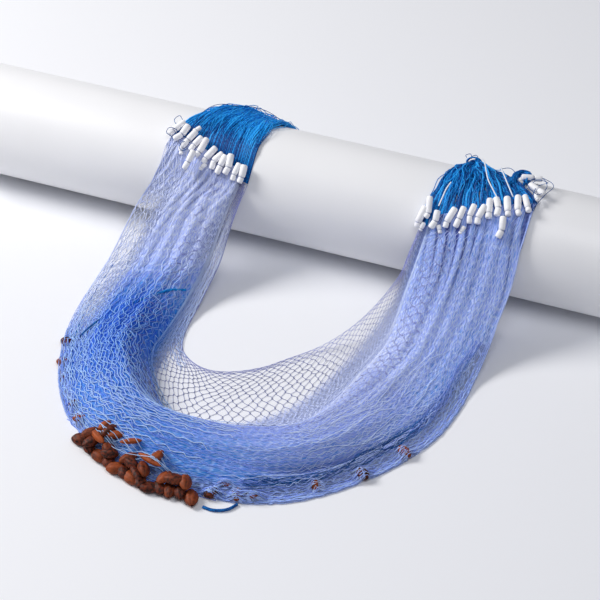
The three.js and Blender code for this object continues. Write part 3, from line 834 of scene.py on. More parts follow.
class Finish:
    """A material and its node tree, with a Principled shader."""

    def __init__(self, name, **plain):
        self.material = bpy.data.materials.new(name)
        self.material.use_nodes = True
        self.tree = self.material.node_tree
        self.shader = self.tree.nodes["Principled BSDF"]
        for socket, value in plain.items():
            self.shader.inputs[self.socket_name(socket)].default_value = value

    @staticmethod
    def socket_name(word):
        return word.replace("_", " ").title().replace("Ior", "IOR")

    def node(self, kind, settings=None, inputs=None, output=0):
        """Any node: its settings, a ramp's stops among them, then the values or links of its sockets."""
        made = self.tree.nodes.new(kind)
        for name, value in (settings or {}).items():
            if name == "stops":
                self.set_stops(made.color_ramp, value)
            else:
                setattr(made, name, value)
        for name, value in (inputs or {}).items():
            if isinstance(value, Value):
                self.tree.links.new(value.socket, made.inputs[name])
            else:
                made.inputs[name].default_value = value
        return Value(self, made.outputs[output])

    @staticmethod
    def set_stops(ramp, stops):
        for _ in range(len(stops) - len(ramp.elements)):
            ramp.elements.new(1)
        for element, (position, colour) in zip(ramp.elements, stops):
            element.position = position
            element.color = (*colour, 1)

    def mix(self, factor, first, second):
        """Blend of two colours, each a colour or a socket."""
        inputs = {"Factor": factor, 6: self.colour(first), 7: self.colour(second)}
        return self.node("ShaderNodeMix", {"data_type": "RGBA"}, inputs, output=2)

    @staticmethod
    def colour(value):
        return value if isinstance(value, Value) else (*value, 1)

    def ramp(self, level, *stops):
        """Colour at a level between stops, each a position and a colour."""
        return self.node("ShaderNodeValToRGB", {"stops": stops}, {"Fac": level})

    def field(self, name):
        """A field of the piece's points, by name."""
        return self.node("ShaderNodeAttribute", {"attribute_name": name}, output="Fac")

    def map(self, name, sides="XY"):
        """Sides of one of the piece's maps."""
        place = self.node("ShaderNodeUVMap", {"uv_map": name})
        return [self.node("ShaderNodeSeparateXYZ", {}, {"Vector": place}, output=side) for side in sides]

    def noise(self, scale, detail=2.0, roughness=0.5):
        """Noise on the piece's own coordinates."""
        place = self.node("ShaderNodeTexCoord", output="Object")
        inputs = {"Vector": place, "Scale": scale, "Detail": detail, "Roughness": roughness}
        return self.node("ShaderNodeTexNoise", {}, inputs)

    def set(self, **links):
        """Links values to the shader's sockets and returns the material."""
        for name, value in links.items():
            self.tree.links.new(value.socket, self.shader.inputs[self.socket_name(name)])
        return self.material

    def bump(self, height, strength, distance):
        inputs = {"Height": height, "Strength": strength, "Distance": distance}
        return self.node("ShaderNodeBump", {}, inputs)


def colour_property(name, description, code):
    return bpy.props.FloatVectorProperty(
        name=name, description=description, subtype="COLOR", size=3, min=0, max=1, default=linear(code)
    )


def length_property(name, description, default):
    return bpy.props.FloatProperty(
        name=name, description=description, default=default, min=0, subtype="DISTANCE", unit="LENGTH"
    )


def angle_property(name, description, degrees):
    return bpy.props.FloatProperty(
        name=name, description=description, default=math.radians(degrees), subtype="ANGLE", unit="ROTATION"
    )


def number_property(name, description, default, unit="NONE"):
    return bpy.props.FloatProperty(name=name, description=description, default=default, unit=unit)


def count_property(name, description, default):
    return bpy.props.IntProperty(name=name, description=description, default=default)


class GillNetStage(bpy.types.PropertyGroup):
    """Camera, light and floor."""

    elevation: angle_property("Elevation", "Camera's height above the horizon", 41)
    azimuth: angle_property("Azimuth", "Camera's turn from straight in front of the tube", 20.63)
    distance: length_property("Distance", "From the camera to its target", 3.057)
    target: bpy.props.FloatVectorProperty(
        name="Target", description="Point in the middle of the picture", default=(0.06, -0.1419, 0),
        subtype="XYZ", unit="LENGTH",
    )
    focal_ratio: number_property("Focal Ratio", "Focal length as a multiple of the picture's width", 3.6517)
    floor_colour: colour_property("Floor", "Colour of the floor", 0xF3F4F8)
    key_power: number_property("Key Light", "Power of the large light", 158, "POWER")
    fill_power: number_property("Fill Light", "Power of the light from above", 40, "POWER")
    sky: number_property("Sky", "Strength of the even light", 0.22)


class GillNetWebbing(bpy.types.PropertyGroup):
    """Inner sheet and threads of the webbing."""

    fine_thread: length_property("Fine Thread", "Diameter of the threads of the fine layers", 0.0005)
    arm_thread: length_property("Arm Thread", "Diameter of the threads of the arms", 0.0006)
    top_thread: length_property("Top Thread", "Diameter of the threads on top", 0.0009)
    web_thread: length_property("Web Thread", "Diameter of the threads of the open web", 0.0006)
    long_layers: count_property("Long Layers", "Fine layers along most of the bundle", 1)
    arm_layers: count_property("Arm Layers", "Fine layers in each arm only", 1)
    inner_lavender: colour_property("Inner Lavender", "Inner sheet at the top of the arms", 0xBECCFC)
    inner_periwinkle: colour_property("Inner Periwinkle", "Inner sheet low on the arms", 0x98AEFC)
    inner_sky: colour_property("Inner Sky", "Inner sheet in the bundle", 0x2C86E0)
    inner_azure: colour_property("Inner Azure", "Inner sheet at the heart of the left bend", 0x185ED0)
    # Painted shade: the colour that the pleats' creases and the long crease are darkened towards
    inner_crease_shade: colour_property("Inner Crease", "Creases between the pleats", 0x303E8C)
    arm_light: colour_property("Arm Light", "Top threads of the arms", 0xE8EEFF)
    # Drawn darker than the top threads: partly the blue of many layers, partly painted shade
    arm_deep: colour_property("Arm Deep", "Inner threads of the arms", 0xB0C2FF)
    bundle_light: colour_property("Bundle Light", "Top threads of the bundle", 0x98C8FF)
    # Drawn darker than the top threads: partly the blue of many layers, partly painted shade
    bundle_deep: colour_property("Bundle Deep", "Inner threads of the bundle", 0x1968FF)
    web_colour: colour_property("Web", "Threads of the open web", 0x8085B2)
    web_pale: colour_property("Web Edge", "Threads at the edges of the open web", 0x989FDC)
    seed: count_property("Seed", "Seed of the threads' wander", 7)


class GillNetRopes(bpy.types.PropertyGroup):
    """Head ropes, foot ropes and cords."""

    strands: count_property("Strands", "Strands in each bunch", 110)
    strand: length_property("Strand", "Diameter of a strand", 0.003)
    twine: length_property("Twine", "Diameter of the loose twine", 0.0009)
    cord: length_property("Cord", "Diameter of the cords and the foot rope", 0.004)
    colour: colour_property("Rope", "Colour of the ropes", 0x0080D2)
    # Dark end of the strands' own tones, and the painted shade in the grooves between the twists
    dark_tone_and_shade: colour_property("Rope Shade", "Colour between the twists", 0x023F86)
    light: colour_property("Rope Light", "Colour of the palest strands", 0x30AEFC)


class GillNetFloats(bpy.types.PropertyGroup):
    """Floats."""

    radius: length_property("Radius", "Radius of a float", 0.005)
    length: length_property("Length", "Length of a float", 0.03)
    colour: colour_property("Foam", "Colour of the floats", 0xFCFCFF)
    tie: colour_property("Tie", "Twine in the crease of a float", 0x4A5E98)


class GillNetSinkers(bpy.types.PropertyGroup):
    """Sinkers."""

    length: length_property("Length", "Length of a sinker", 0.027)
    width: length_property("Width", "Width of a sinker", 0.019)
    thickness: length_property("Thickness", "Thickness of a sinker", 0.014)
    colour: colour_property("Clay", "Colour of fired clay", 0x6A280F)
    bright: colour_property("Bright Clay", "Colour of rubbed clay", 0xB65828)


def thread_finish(net):
    """Nylon thread: its colour is read from the thread's map, across from arm to bundle and up from deep
    threads, drawn darker as partly the blue of many layers and partly painted shade, to paler top threads."""
    finish = Finish("net_thread", roughness=0.5, specular_ior_level=0.25)
    across, up = finish.map("OFBake")
    arm = finish.mix(up, net.arm_deep, net.arm_light)
    bundle = finish.mix(up, net.bundle_deep, net.bundle_light)
    return finish.set(base_color=finish.mix(across, arm, bundle))


def inner_finish(net):
    """Fine layers seen as one: a ramp of blues by the sheet's azure field, streaked along its map, with pale
    threads drawn and dented between small long cells. Where its cover is low it is painted pale lavender,
    painted light over the shade below it, and its creases are darkened with painted shade."""
    finish = Finish("inner_layers", roughness=0.6, specular_ior_level=0.2)
    azure, cover, crease = (finish.field(name) for name in ("azure", "cover", "crease"))
    along, across = finish.map("UVMap")
    cells, streaks, flecks = (
        finish.node("ShaderNodeCombineXYZ", {}, {"X": along * (1 / long), "Y": across * (1 / wide)})
        for long, wide in (INNER_CELL, INNER_STREAK, INNER_FLECK)
    )
    settings = {"feature": "DISTANCE_TO_EDGE", "voronoi_dimensions": "2D"}
    inputs = {"Vector": cells, "Scale": 1.0, "Randomness": 0.85}
    away = finish.node("ShaderNodeTexVoronoi", settings, inputs, output="Distance")
    settings = {"interpolation_type": "SMOOTHSTEP"}
    inputs = {"Value": away, "From Min": 0.03, "From Max": 0.24, "To Min": 1.0, "To Max": 0.0}
    thread = finish.node("ShaderNodeMapRange", settings, inputs)
    streak, fleck = (
        finish.node("ShaderNodeTexNoise", {}, {"Vector": cell, "Scale": 1.0, "Detail": 3.0}, output="Fac")
        for cell in (streaks, flecks)
    )
    cloud = finish.noise(35, detail=4, roughness=0.6)
    deep = finish.ramp(
        azure + cloud * 0.3 + streak * 0.5 + fleck * 1.3 - 0.95,
        (0, net.inner_lavender), (0.38, net.inner_periwinkle), (0.72, net.inner_sky), (1, net.inner_azure),
    )
    light = finish.mix(azure, net.arm_light, net.bundle_light)
    meshes = finish.mix(thread * (0.85 - azure * 0.8), deep, light)
    # Where the cover is low the sheet is painted pale lavender: painted light over the shade below it
    thin_veil_light = finish.mix((1 - cover) * 0.9, meshes, net.inner_lavender)
    # The creases are mixed towards the crease colour: painted shade
    return finish.set(
        base_color=finish.mix(crease, thin_veil_light, net.inner_crease_shade),
        alpha=cover + cover * (1 - cover) * (thread - 0.35) * 4.8,
        normal=finish.bump(thread + streak, strength=0.6, distance=0.0008),
    )


def web_finish(net):
    """Single threads of the open web, paler where the thread's map says."""
    finish = Finish("web_thread", roughness=0.45)
    [pale] = finish.map("OFBake", "X")
    return finish.set(base_color=finish.mix(pale, net.web_colour, net.web_pale))


def rope_finish(ropes, name, twists, light=None):
    """Laid rope: each strand has a tone of its own from dark to pale, and slanting grooves round it, from
    the map's turn and length, dent it and darken it with painted shade."""
    finish = Finish(name, roughness=0.5, specular_ior_level=0.22)
    turn, length = finish.map("UVMap")
    tone = finish.field("tone")
    slant = (turn * 2 + length * twists) * (2 * math.pi)
    lay = finish.node("ShaderNodeMath", {"operation": "SINE"}, {0: slant}) * 0.5 + 0.5
    fuzz = finish.noise(620, detail=3)
    # lay lightens the ridges and darkens the grooves between the twists: painted shade
    level = tone + lay * 0.24 + fuzz * 1.4 - 0.82
    colour = finish.ramp(level, (0, ropes.dark_tone_and_shade), (0.5, ropes.colour), (1, light or ropes.light))
    return finish.set(base_color=colour, normal=finish.bump(lay + fuzz * 0.5, strength=0.6, distance=0.0004))


def foam_finish(floats):
    """Closed-cell foam: a fine pebble, a little grime and the twine that ties each float at its crease."""
    finish = Finish("foam", roughness=0.65)
    tied = finish.field("tone")
    cells = finish.noise(900, detail=3)
    grime = finish.noise(70, detail=2)
    dirty = tuple(np.array(floats.colour) * (0.86, 0.86, 0.9))
    mask = finish.ramp(grime, (0.45, BLACK), (0.75, WHITE))
    colour = finish.mix(tied * 0.85, finish.mix(mask, floats.colour, dirty), floats.tie)
    return finish.set(base_color=colour, normal=finish.bump(cells, strength=0.35, distance=0.0006))


def tape_finish():
    """White tape, a little uneven."""
    finish = Finish("white_tape", roughness=0.5)
    cloud = finish.noise(200, detail=2)
    return finish.set(base_color=finish.mix(cloud, linear(0xE2ECFF), linear(0xFAFCFF)))


def clay_finish(sinkers):
    """Fired clay: mottled brown with rubbed patches, speckled and rough."""
    finish = Finish("fired_clay", roughness=0.6, specular_ior_level=0.3)
    mottle = finish.noise(110, detail=4)
    speck = finish.noise(300, detail=4)
    mask = finish.ramp(mottle * 0.6 + finish.field("tone") * 0.5, (0.42, BLACK), (0.85, WHITE))
    brown = finish.ramp(speck, (0.4, tuple(np.array(sinkers.colour) * 0.14)), (0.62, sinkers.colour))
    return finish.set(
        base_color=finish.mix(mask * 0.8, brown, sinkers.bright),
        normal=finish.bump(mottle + speck * 0.6, strength=0.5, distance=0.0008),
    )


def tube_finish():
    """Smooth white plastic with a faintly uneven gloss."""
    finish = Finish("white_pipe", roughness=0.4)
    cloud = finish.noise(9, detail=2)
    colour = finish.mix(cloud, linear(0xF1F1F3), linear(0xF8F8FA))
    return finish.set(base_color=colour, roughness=cloud * 0.12 + 0.34)


def floor_finish(stage):
    """Plain pale floor."""
    finish = Finish("floor", roughness=0.75)
    finish.shader.inputs["Base Color"].default_value = (*stage.floor_colour, 1)
    return finish.material


def rope_map(shape, along):
    """Map of a rope: the share of the way round, and the distance along."""
    _, _, ring, share = shape
    return np.stack([share, along.ravel()[ring]], axis=-1)


def path_lengths(paths):
    """Distance along each path at each of its points."""
    steps = np.linalg.norm(np.diff(paths, axis=1), axis=2)
    return np.concatenate([np.zeros((len(paths), 1)), np.cumsum(steps, axis=1)], axis=1)


def off_tube(paths):
    """Directions straight away from the tube's axis."""
    return unit((paths - [0, 0, TUBE_AXIS_Z * MM]) * [0, 1, 1])


def on_webbing(section, across, rise):
    """Points on the webbing's top, raised."""
    x, w, crest = webbing_place(section, across)
    return drape(x, w, webbing_top(section, across, crest) + rise)


class Layer(NamedTuple):
    """One layer of knotted mesh in the bundle."""

    columns: int  # threads side by side
    row: float  # millimetres from one row of knots to the next
    ends: tuple  # first and last section
    edges: tuple  # places across of its two long edges
    share: float  # height, as a share of the bundle's
    light: float  # 0 for a deep thread, drawn darker, partly painted shade; 1 for one on top
    stops: dict = PLAIN_THREAD
    stray: float = 0.4  # wander of the knots, in cells
    loose: float = 0.0  # wander of each thread by itself, in cells
    swing: float = 1.0  # share of the full zigzag
    ragged: float = 0.0  # sections by which a thread may start late or end early
    thick: float = 1.0  # thickness, as a share of the other threads'
    over_heap: bool = False  # whether its threads lie over the heap of sinkers


TOP_LAYERS = (
    Layer(30, 12, (1.8, 11), (-0.1, 0.99), 1.0, 1.0, BENT_THREAD, 0.3, 0.15, 0.66, 1.5, thick=1.15),
    Layer(8, 12, (3.4, 10), (0.1, 0.8), 1.0, 0.8, BENT_THREAD, 0.6, 0.4, 0.8, 1.5),
    Layer(40, 7, (9.2, 14.8), (-0.05, 0.98), 1.0, 0.9, PLAIN_THREAD, 0.5, 0.4, 0.7, 1.2, thick=0.8),
    Layer(12, 24, (9.2, 15.5), (0.3, 0.98), 1.02, 1.0, PLAIN_THREAD, 0.5, 0.8, 0.3, 2.5),
    Layer(8, 18, (2.6, 10.5), (0.1, 0.98), 1.02, 1.0, PLAIN_THREAD, 0.5, 0.9, 0.5, 3.0),
    Layer(10, 8, (0, 7.6), (0.66, 1.0), 1.0, 0.7, BENT_THREAD, 0.4, 0.0, 0.9, 0.6),
    Layer(4, 13, (0, LAST_SECTION), (0.985, 1.003), 1.0, 0.5, PLAIN_THREAD, 0.3, 0.3, 0.1),
    Layer(9, 9, (9.4, 14.8), (0.86, 1.0), 1.0, 0.5, BENT_THREAD, 0.4, 0.2, 0.8, 0.6),
    # Dark threads among the sinkers: partly painted shade in the gaps of the heap
    Layer(12, 9, (7.4, 10.2), (0.82, 1.05), 0.6, 0.0, PLAIN_THREAD, 0.5, 1.5, 1.0, 1.2),
    Layer(9, 16, (6.8, 9.9), (0.8, 0.98), 1.0, 1.0, PLAIN_THREAD, 0.5, 1.5, 0.3, 0.6, over_heap=True),
    Layer(18, 9, (1, 7), (-1, 0.1), 1.0, 0.85, PLAIN_THREAD, 0.5, 0.8, 0.7, 1.0),
)


def gathered(section, across):
    """Place across the webbing after the pleats draw it together under each float: near a float row it
    moves towards the middle of its pleat. The other values are the pleat's ridge, highest along its middle,
    and the strength of the shade painted in the crease between two pleats, both uneven from pleat to pleat."""
    near_end = from_end(section)
    slant, painted_shade = (np.where(section < LAST_SECTION / 2, *pair) for pair in (PLEAT_SLANTS, PLEAT_CREASE_SHADES))
    slant = slant * near_end
    waver, turns_along, turns_across = PLEAT_WAVER
    phase = (across - slant) * PLEATS + waver * np.sin(turns_along * near_end + turns_across * across)
    number = np.floor(phase)
    middle = (number + 0.5) / PLEATS + slant
    pull = PLEAT_PULL * (1 - smoothstep(near_end, *PULL_ENDS))
    wave = np.abs(np.cos(np.pi * (phase - number - 0.5)))
    high, deep = (
        mean + swing * np.sin(step * number) for mean, swing, step in (PLEAT_UNEVEN, PLEAT_SHADE_UNEVEN)
    )
    height = smoothstep(near_end, *PLEATS_RISE) * (1 - 0.5 * smoothstep(near_end, *PLEATS_SETTLE))
    pleated, is_shaded = (1 - smoothstep(near_end, *ends) for ends in (PLEATS_END, PLEAT_SHADES_END))
    ridge = wave**PLEAT_SHARPNESS * height * pleated * high
    # Painted shade in the crease between two pleats
    crease_shade = painted_shade * (1 - wave) ** PLEAT_SHADE_SHARPNESS * is_shaded * deep
    return lerp(across, middle, pull), ridge, crease_shade


def creased(section, across):
    """Share of the bundle's height left by the long crease that divides off its outer flap."""
    middle = by_section(CREASE, "across", section)
    start, end = CREASE["section"][[0, -1]]
    strength = between(section, (start, start + 1), (end - 1, end))
    return 1 - CREASE_DEPTH * strength * np.exp(-(((across - middle) / CREASE_WIDTH) ** 2))


def tucked(section, w):
    """Place along the drape after the ends of the webbing are tucked under the floats."""
    return w - TUCK * (1 - smoothstep(from_end(section), 0, TUCK_REACH))


def gathered_top(section, place):
    """The webbing's top with its pleats and its long crease, from places across before they are gathered:
    flat x and w, place across, height, and the strength of the shade painted in the creases."""
    across, ridge, crease_shade = gathered(section, place)
    x, w, crest = webbing_place(section, across)
    folded = creased(section, across)
    top = webbing_top(section, across, crest) * folded + PLEAT_HEIGHT * ridge
    # The last value is the painted shade of the pleats' creases and of the long crease
    return x, tucked(section, w), across, top, crease_shade + CREASE_SHADE * (1 - folded)


def sinker_tops(x, w, under):
    """Height at each flat place of the highest sinker of those under the net, 0 off them: half an ellipsoid
    on each middle."""
    y = np.interp(w, DRAPE_W, DRAPE_LINE[:, 0])
    turn = np.radians(ALL_SINKERS["turn"])
    dx, dy = x[..., None] - ALL_SINKERS["x"], y[..., None] - ALL_SINKERS["y"]
    along = (dy * np.cos(turn) - dx * np.sin(turn)) / (SINKER_REACH[0] * SINKER_LENGTHS)
    beside = (dx * np.cos(turn) + dy * np.sin(turn)) / (SINKER_REACH[1] * SINKER_WIDTHS)
    bulge = np.sqrt(np.maximum(1 - along**2 - beside**2, 0))
    height = np.where(bulge > 0, ALL_SINKERS["z"] + SINKER_REACH[2] * bulge, 0)
    return (height * under).max(axis=-1)


def cord_cover(x, w):
    """Extra height that threads need to pass over the cords and the foot ropes."""
    reach = np.hypot(x[..., None] - CORD_LINE[:, 0], w[..., None] - CORD_LINE[:, 1]).min(axis=-1)
    return CORD_COVER * np.exp(-((reach / CORD_COVER_REACH) ** 2))


def lattice(rng, columns, rows, stops, stray, loose=0.0, swing=1.0):
    """Threads of a knotted mesh, flat: the row and the column of each point, in cells, and its thickness, a
    line for each thread. Neighbouring threads swing together and apart from row to row and meet at the
    knots. A smooth random wander moves a knot and both of its threads together, and a loose thread wanders
    by itself too."""
    row, column = np.arange(rows)[:, None], np.arange(columns)[:, None]
    side = ((-1.0) ** row * stops["swing"]).ravel()
    over = column + 0.5 + 0.5 * KNOT_REACH * swing * (-1.0) ** column * side
    down = np.broadcast_to((row + stops["offset"]).ravel(), over.shape)
    over = over + loose * wander(rng, down * LOOSE_CELLS, np.broadcast_to(column, over.shape))
    shift_down, shift_over = (
        stray * wander(rng, down * STRAY_CELLS, over * STRAY_CELLS) for _ in range(2)
    )
    slow = columns * SLOW_DRIFT * wander(rng, down * SLOW_CELLS[0], over * SLOW_CELLS[1] / columns)
    width = np.broadcast_to(np.tile(stops["width"], rows), over.shape)
    return down + shift_down, over + shift_over + slow, width


def hemmed(share, columns):
    """Share of a layer's width, held smoothly between 0 and 1 so that outer threads run along the edge."""
    bend = 2 * columns
    return np.logaddexp(0, bend - np.logaddexp(0, (1 - share) * bend)) / bend


def layer_paths(rng, layer):
    """Threads of one layer in place on the bundle, with the section, the place across and the thickness at
    each point. A layer that starts or ends inside the bundle sinks into it there, and a top one lies over
    sinkers and cords. Layers that reach a float row are tucked under it."""
    start, end = layer.ends
    late, early = layer.ragged * rng.uniform(0, 1, (2, layer.columns, 1))
    first = start + late if start > 0 else np.zeros((layer.columns, 1))
    last = end - early if end < LAST_SECTION else np.full((layer.columns, 1), float(LAST_SECTION))
    first_length, last_length = (np.interp(stop, FINE_SECTION, FINE_LENGTH) for stop in (first, last))
    rows = int(np.ptp(np.interp(layer.ends, FINE_SECTION, FINE_LENGTH)) / layer.row)
    down, over, width = lattice(rng, layer.columns, rows, layer.stops, layer.stray, layer.loose, layer.swing)
    length = lerp(first_length, last_length, np.clip(down / (rows - 1), 0, 1))
    section = np.interp(length, FINE_LENGTH, FINE_SECTION)
    low, high = layer.edges
    drawn_in = smoothstep(section, *DRAWN_IN["rise"])
    drawn_in = drawn_in * (1 - DRAWN_IN["less"] * smoothstep(section, *DRAWN_IN["fall"]))
    edge = lerp(max(high, 1.0), high, drawn_in) * by_section(OUTER_EDGE, "across", section)
    place = low + (edge - low) * hemmed(over / layer.columns, layer.columns)
    x, w, across, top, _ = gathered_top(section, place)
    risen = smoothstep(section, first, first + 1) if start > 0 else 1.0
    risen = risen * (1 - smoothstep(section, last - 1, last)) if end < LAST_SECTION else risen
    rough = wander(rng, section * ROUGH_CELLS[0], (across + 1) * ROUGH_CELLS[1])
    h = THREAD_SEAT + layer.share * risen * top + rough * np.minimum(ROUGHNESS[0], ROUGHNESS[1] * top)
    if layer.share >= 1:
        tops = sinker_tops(x, w, EDGE_SINKERS | layer.over_heap)
        h = np.maximum(h + cord_cover(x, w), tops + THREAD_SEAT)
    return drape(x, w, h), section, across, width * layer.thick


def azure_at(section, across):
    """How blue the net is at a place: a table along it, a bell at the heart of the left bend, more to the
    outer side at the right, and less at the outer left edge and on the open web."""
    azure = by_section(BLUENESS, "azure", section)
    heart, outer = AZURE_HEART, OUTER_AZURE
    along = (section - heart["section"]) / heart["reach"]
    beside = (across - heart["across"]) / heart["width"]
    azure = azure + heart["more"] * np.exp(-(along**2) - beside**2)
    right = between(section, outer["rise"], outer["fall"])
    azure = azure + outer["more"] * right * (across - outer["across"])
    pale_edge = smoothstep(across, *PALE_EDGE["across"]) * (1 - smoothstep(section, *PALE_EDGE["fall"]))
    pale_web = smoothstep(-across, *PALE_WEB["reach"])
    return azure * (1 - PALE_EDGE["less"] * pale_edge) * (1 - PALE_WEB["less"] * pale_web)


def inner_cover(section, across):
    """How much of what lies below it the inner sheet hides: it fades out across its inner edge, in the
    sparse outer strip of the left arm and along the outer edge."""
    start, full = (by_section(INNER_FADE, name, section) for name in ("start", "full"))
    strip, edge = (
        thin["less"] * (between(section, thin["rise"], thin["fall"]) * smoothstep(across, *thin["across"]))
        for thin in INNER_THIN
    )
    return smoothstep((across - start) / (full - start), 0, 1) * (1 - np.maximum(strip, edge))


def thread_map(shape, across, up):
    """Map of the threads: a tone across and one up for each ring, with a little width so that no face is a
    line."""
    _, _, ring, share = shape
    tones = np.clip(np.stack([across, up], axis=-1), *THREAD_TONES)
    return tones[ring] + THREAD_MAP_WIDTH * np.stack([share, 1 - share], axis=-1)


def declare_net(lengths, thread):
    """Works out the size of the threads as a sheet with all meshes pulled shut, the threads side by side,
    but nothing uses it. Declares threads as a sheet by its size with all meshes pulled shut, the threads
    side by side.
    """
    flat = float(len(lengths) * thread), float(lengths.mean())


class GILLNET_OT_stage(bpy.types.Operator):
    """Makes the floor, the lights and the camera."""

    bl_idname = "gill_net.stage"
    bl_label = "Stage"

    def execute(self, context):
        stage = context.scene.gill_net_stage
        half = FLOOR_HALF
        corners = np.array([[-half, -half, 0], [half, -half, 0], [half, half, 0], [-half, half, 0]])
        mesh = bpy.data.meshes.new("floor")
        mesh.from_pydata(corners, [], [(0, 1, 2, 3)])
        mesh.materials.append(floor_finish(stage))
        floor = bpy.data.objects.new("floor", mesh)
        context.scene.collection.objects.link(floor)
        for name, power in (("key", stage.key_power), ("fill", stage.fill_power)):
            self.add_lamp(context, name, power, **LAMPS[name])
        world = bpy.data.worlds.new("sky")
        world.use_nodes = True
        sky = world.node_tree.nodes["Background"]
        sky.inputs["Color"].default_value = (*SKY_COLOUR, 1)
        sky.inputs["Strength"].default_value = stage.sky
        context.scene.world = world
        context.scene.view_settings.view_transform = "Standard"
        self.add_camera(context, stage)
        return {"FINISHED"}

    @staticmethod
    def add_lamp(context, name, power, place, size, colour):
        lamp = bpy.data.lights.new(name, "AREA")
        lamp.shape = "DISK"
        lamp.size = size
        lamp.energy = power
        lamp.color = colour
        holder = bpy.data.objects.new(name, lamp)
        holder.location = place
        aim = LAMP_AIM - Vector(place)
        holder.rotation_euler = aim.to_track_quat("-Z", "Y").to_euler()
        context.scene.collection.objects.link(holder)

    @staticmethod
    def add_camera(context, stage):
        rise, turn = stage.elevation, stage.azimuth
        back = Vector((math.sin(turn) * math.cos(rise), -math.cos(turn) * math.cos(rise), math.sin(rise)))
        camera = bpy.data.cameras.new("camera")
        camera.lens = camera.sensor_width * stage.focal_ratio
        camera.clip_end = CAMERA_REACH
        holder = bpy.data.objects.new("camera", camera)
        holder.location = Vector(stage.target) + back * stage.distance
        holder.rotation_euler = (-back).to_track_quat("-Z", "Y").to_euler()
        context.scene.collection.objects.link(holder)
        context.scene.camera = holder


class GILLNET_OT_cords(bpy.types.Operator):
    """Lays the tie cord across the left bend and the rope tail on the floor."""

    bl_idname = "gill_net.cords"
    bl_label = "Cords"

    def execute(self, context):
        ropes = context.scene.gill_net_ropes
        finish = rope_finish(ropes, "cord_rope", 90)
        stops = on_webbing(*TIE_ROUTE.values())
        self.lay("tie_cord_rope", "tie_cord", stops, ropes.cord, finish, (0.5, 0))
        height = np.full(len(TAIL_ROUTE["x"]), ropes.cord / 2 / MM)
        stops = np.stack([TAIL_ROUTE["x"], TAIL_ROUTE["y"], height], axis=1) * MM
        self.lay("tail_rope", "rope_tail", stops, ropes.cord, finish, (0.05, 0.2))
        return {"FINISHED"}

    @staticmethod
    def lay(name, node, stops, diameter, finish, tones):
        path = smooth_route(stops, CORD_STEPS)
        shape = tubes(path[None], diameter / 2, CORD_SIDES)
        along = path_lengths(path[None])
        tone = np.repeat(np.linspace(*tones, len(path)), CORD_SIDES)
        piece = add_piece(name, shape, finish, "rope", [node], rope_map(shape, along), tone=tone)


class GILLNET_OT_tube(bpy.types.Operator):
    """Makes the tube: its wall's section, with quarter circles at the rims, is carried round the axis and
    kept above the floor."""

    bl_idname = "gill_net.tube"
    bl_label = "Tube"

    def execute(self, context):
        half = TUBE_HIGH[0]
        outer, inner, edge = TUBE_RADIUS, TUBE_RADIUS - TUBE_WALL, TUBE_EDGE
        turn = np.linspace(0, np.pi / 2, TUBE_EDGE_STEPS)
        right_out = np.stack([half - edge + edge * np.sin(turn), outer - edge + edge * np.cos(turn)], 1)
        right_in = np.stack([half - edge + edge * np.cos(turn), inner + edge - edge * np.sin(turn)], 1)
        right = np.concatenate([right_out, right_in])
        left = right[::-1] * [-1, 1]
        section = np.concatenate([right, left])
        count, steps = TUBE_SIDES, len(section)
        angle = 2 * np.pi * np.arange(count) / count
        x = np.broadcast_to(section[:, 0], (count, steps))
        y = np.sin(angle)[:, None] * section[:, 1]
        z = TUBE_AXIS_Z + np.cos(angle)[:, None] * section[:, 1]
        points = np.stack([x, y, np.maximum(z, 0)], axis=-1).reshape(-1, 3) * MM
        index = np.arange(count * steps).reshape(count, steps)
        beside, round_ = np.roll(index, -1, axis=1), np.roll(index, -1, axis=0)
        across = np.roll(beside, -1, axis=0)
        quads = np.stack([index, beside, across, round_], axis=-1).reshape(-1, 4)
        add_piece("tube_pipe", (points, [quads]), tube_finish(), "tube", ["tube"])
        return {"FINISHED"}


class GILLNET_OT_webbing(bpy.types.Operator):
    """Lays the threads on the inner sheet: fine layers along the bundle and in each arm, and light ones on
    top."""

    bl_idname = "gill_net.webbing"
    bl_label = "Webbing"

    def execute(self, context):
        net = context.scene.gill_net_webbing
        rng = np.random.default_rng(net.seed)
        finish = thread_finish(net)
        layers = [self.long_layer(rng) for _ in range(net.long_layers)]
        self.add_layers("webbing_long", rng, layers, net.fine_thread, finish)
        for side, ends in ARM_ENDS.items():
            layers = [self.arm_layer(rng, ends) for _ in range(net.arm_layers)]
            self.add_layers(f"webbing_arm_{side}", rng, layers, net.arm_thread, finish)
        self.add_layers("webbing_top", rng, TOP_LAYERS, net.top_thread, finish)
        return {"FINISHED"}

    @staticmethod
    def long_layer(rng):
        edges = rng.uniform(-0.06, 0.06), rng.uniform(0.9, 0.98)
        return Layer(
            columns=50, row=rng.uniform(8, 10), ends=(2.6, 14), edges=edges, share=1.0,
            light=rng.uniform(0.1, 0.3), loose=1.2, swing=0.8,
        )

    @staticmethod
    def arm_layer(rng, ends):
        edges = rng.uniform(-0.3, 0.02), rng.uniform(0.85, 1.0)
        return Layer(
            columns=46, row=rng.uniform(6, 8), ends=ends, edges=edges, share=1.0, light=0.85, loose=0.5,
            swing=0.7, ragged=2.2,
        )

    @staticmethod
    def add_layers(name, rng, layers, diameter, finish):
        """One piece of several layers, each thread a little lighter or deeper than its layer."""
        shapes, lengths, widths, azures, lights = [], [], [], [], []
        for layer in layers:
            paths, section, across, width = layer_paths(rng, layer)
            shapes.append(tubes(paths, diameter / 2 * width[..., None], THREAD_SIDES))
            lengths.append(path_lengths(paths)[:, -1])
            widths.append(width.ravel())
            azures.append(azure_at(section, across).ravel())
            light = np.clip(layer.light + rng.normal(0, LIGHT_SPREAD, (len(paths), 1)), 0, 1)
            lights.append(np.broadcast_to(light, section.shape).ravel())
        shape = joined(*shapes)
        uv = thread_map(shape, np.concatenate(azures), np.concatenate(lights))
        piece = add_piece(name, shape, finish, "webbing", ["webbing"], uv, "OFBake")
        declare_net(np.concatenate(lengths), np.concatenate(widths).mean() * diameter)


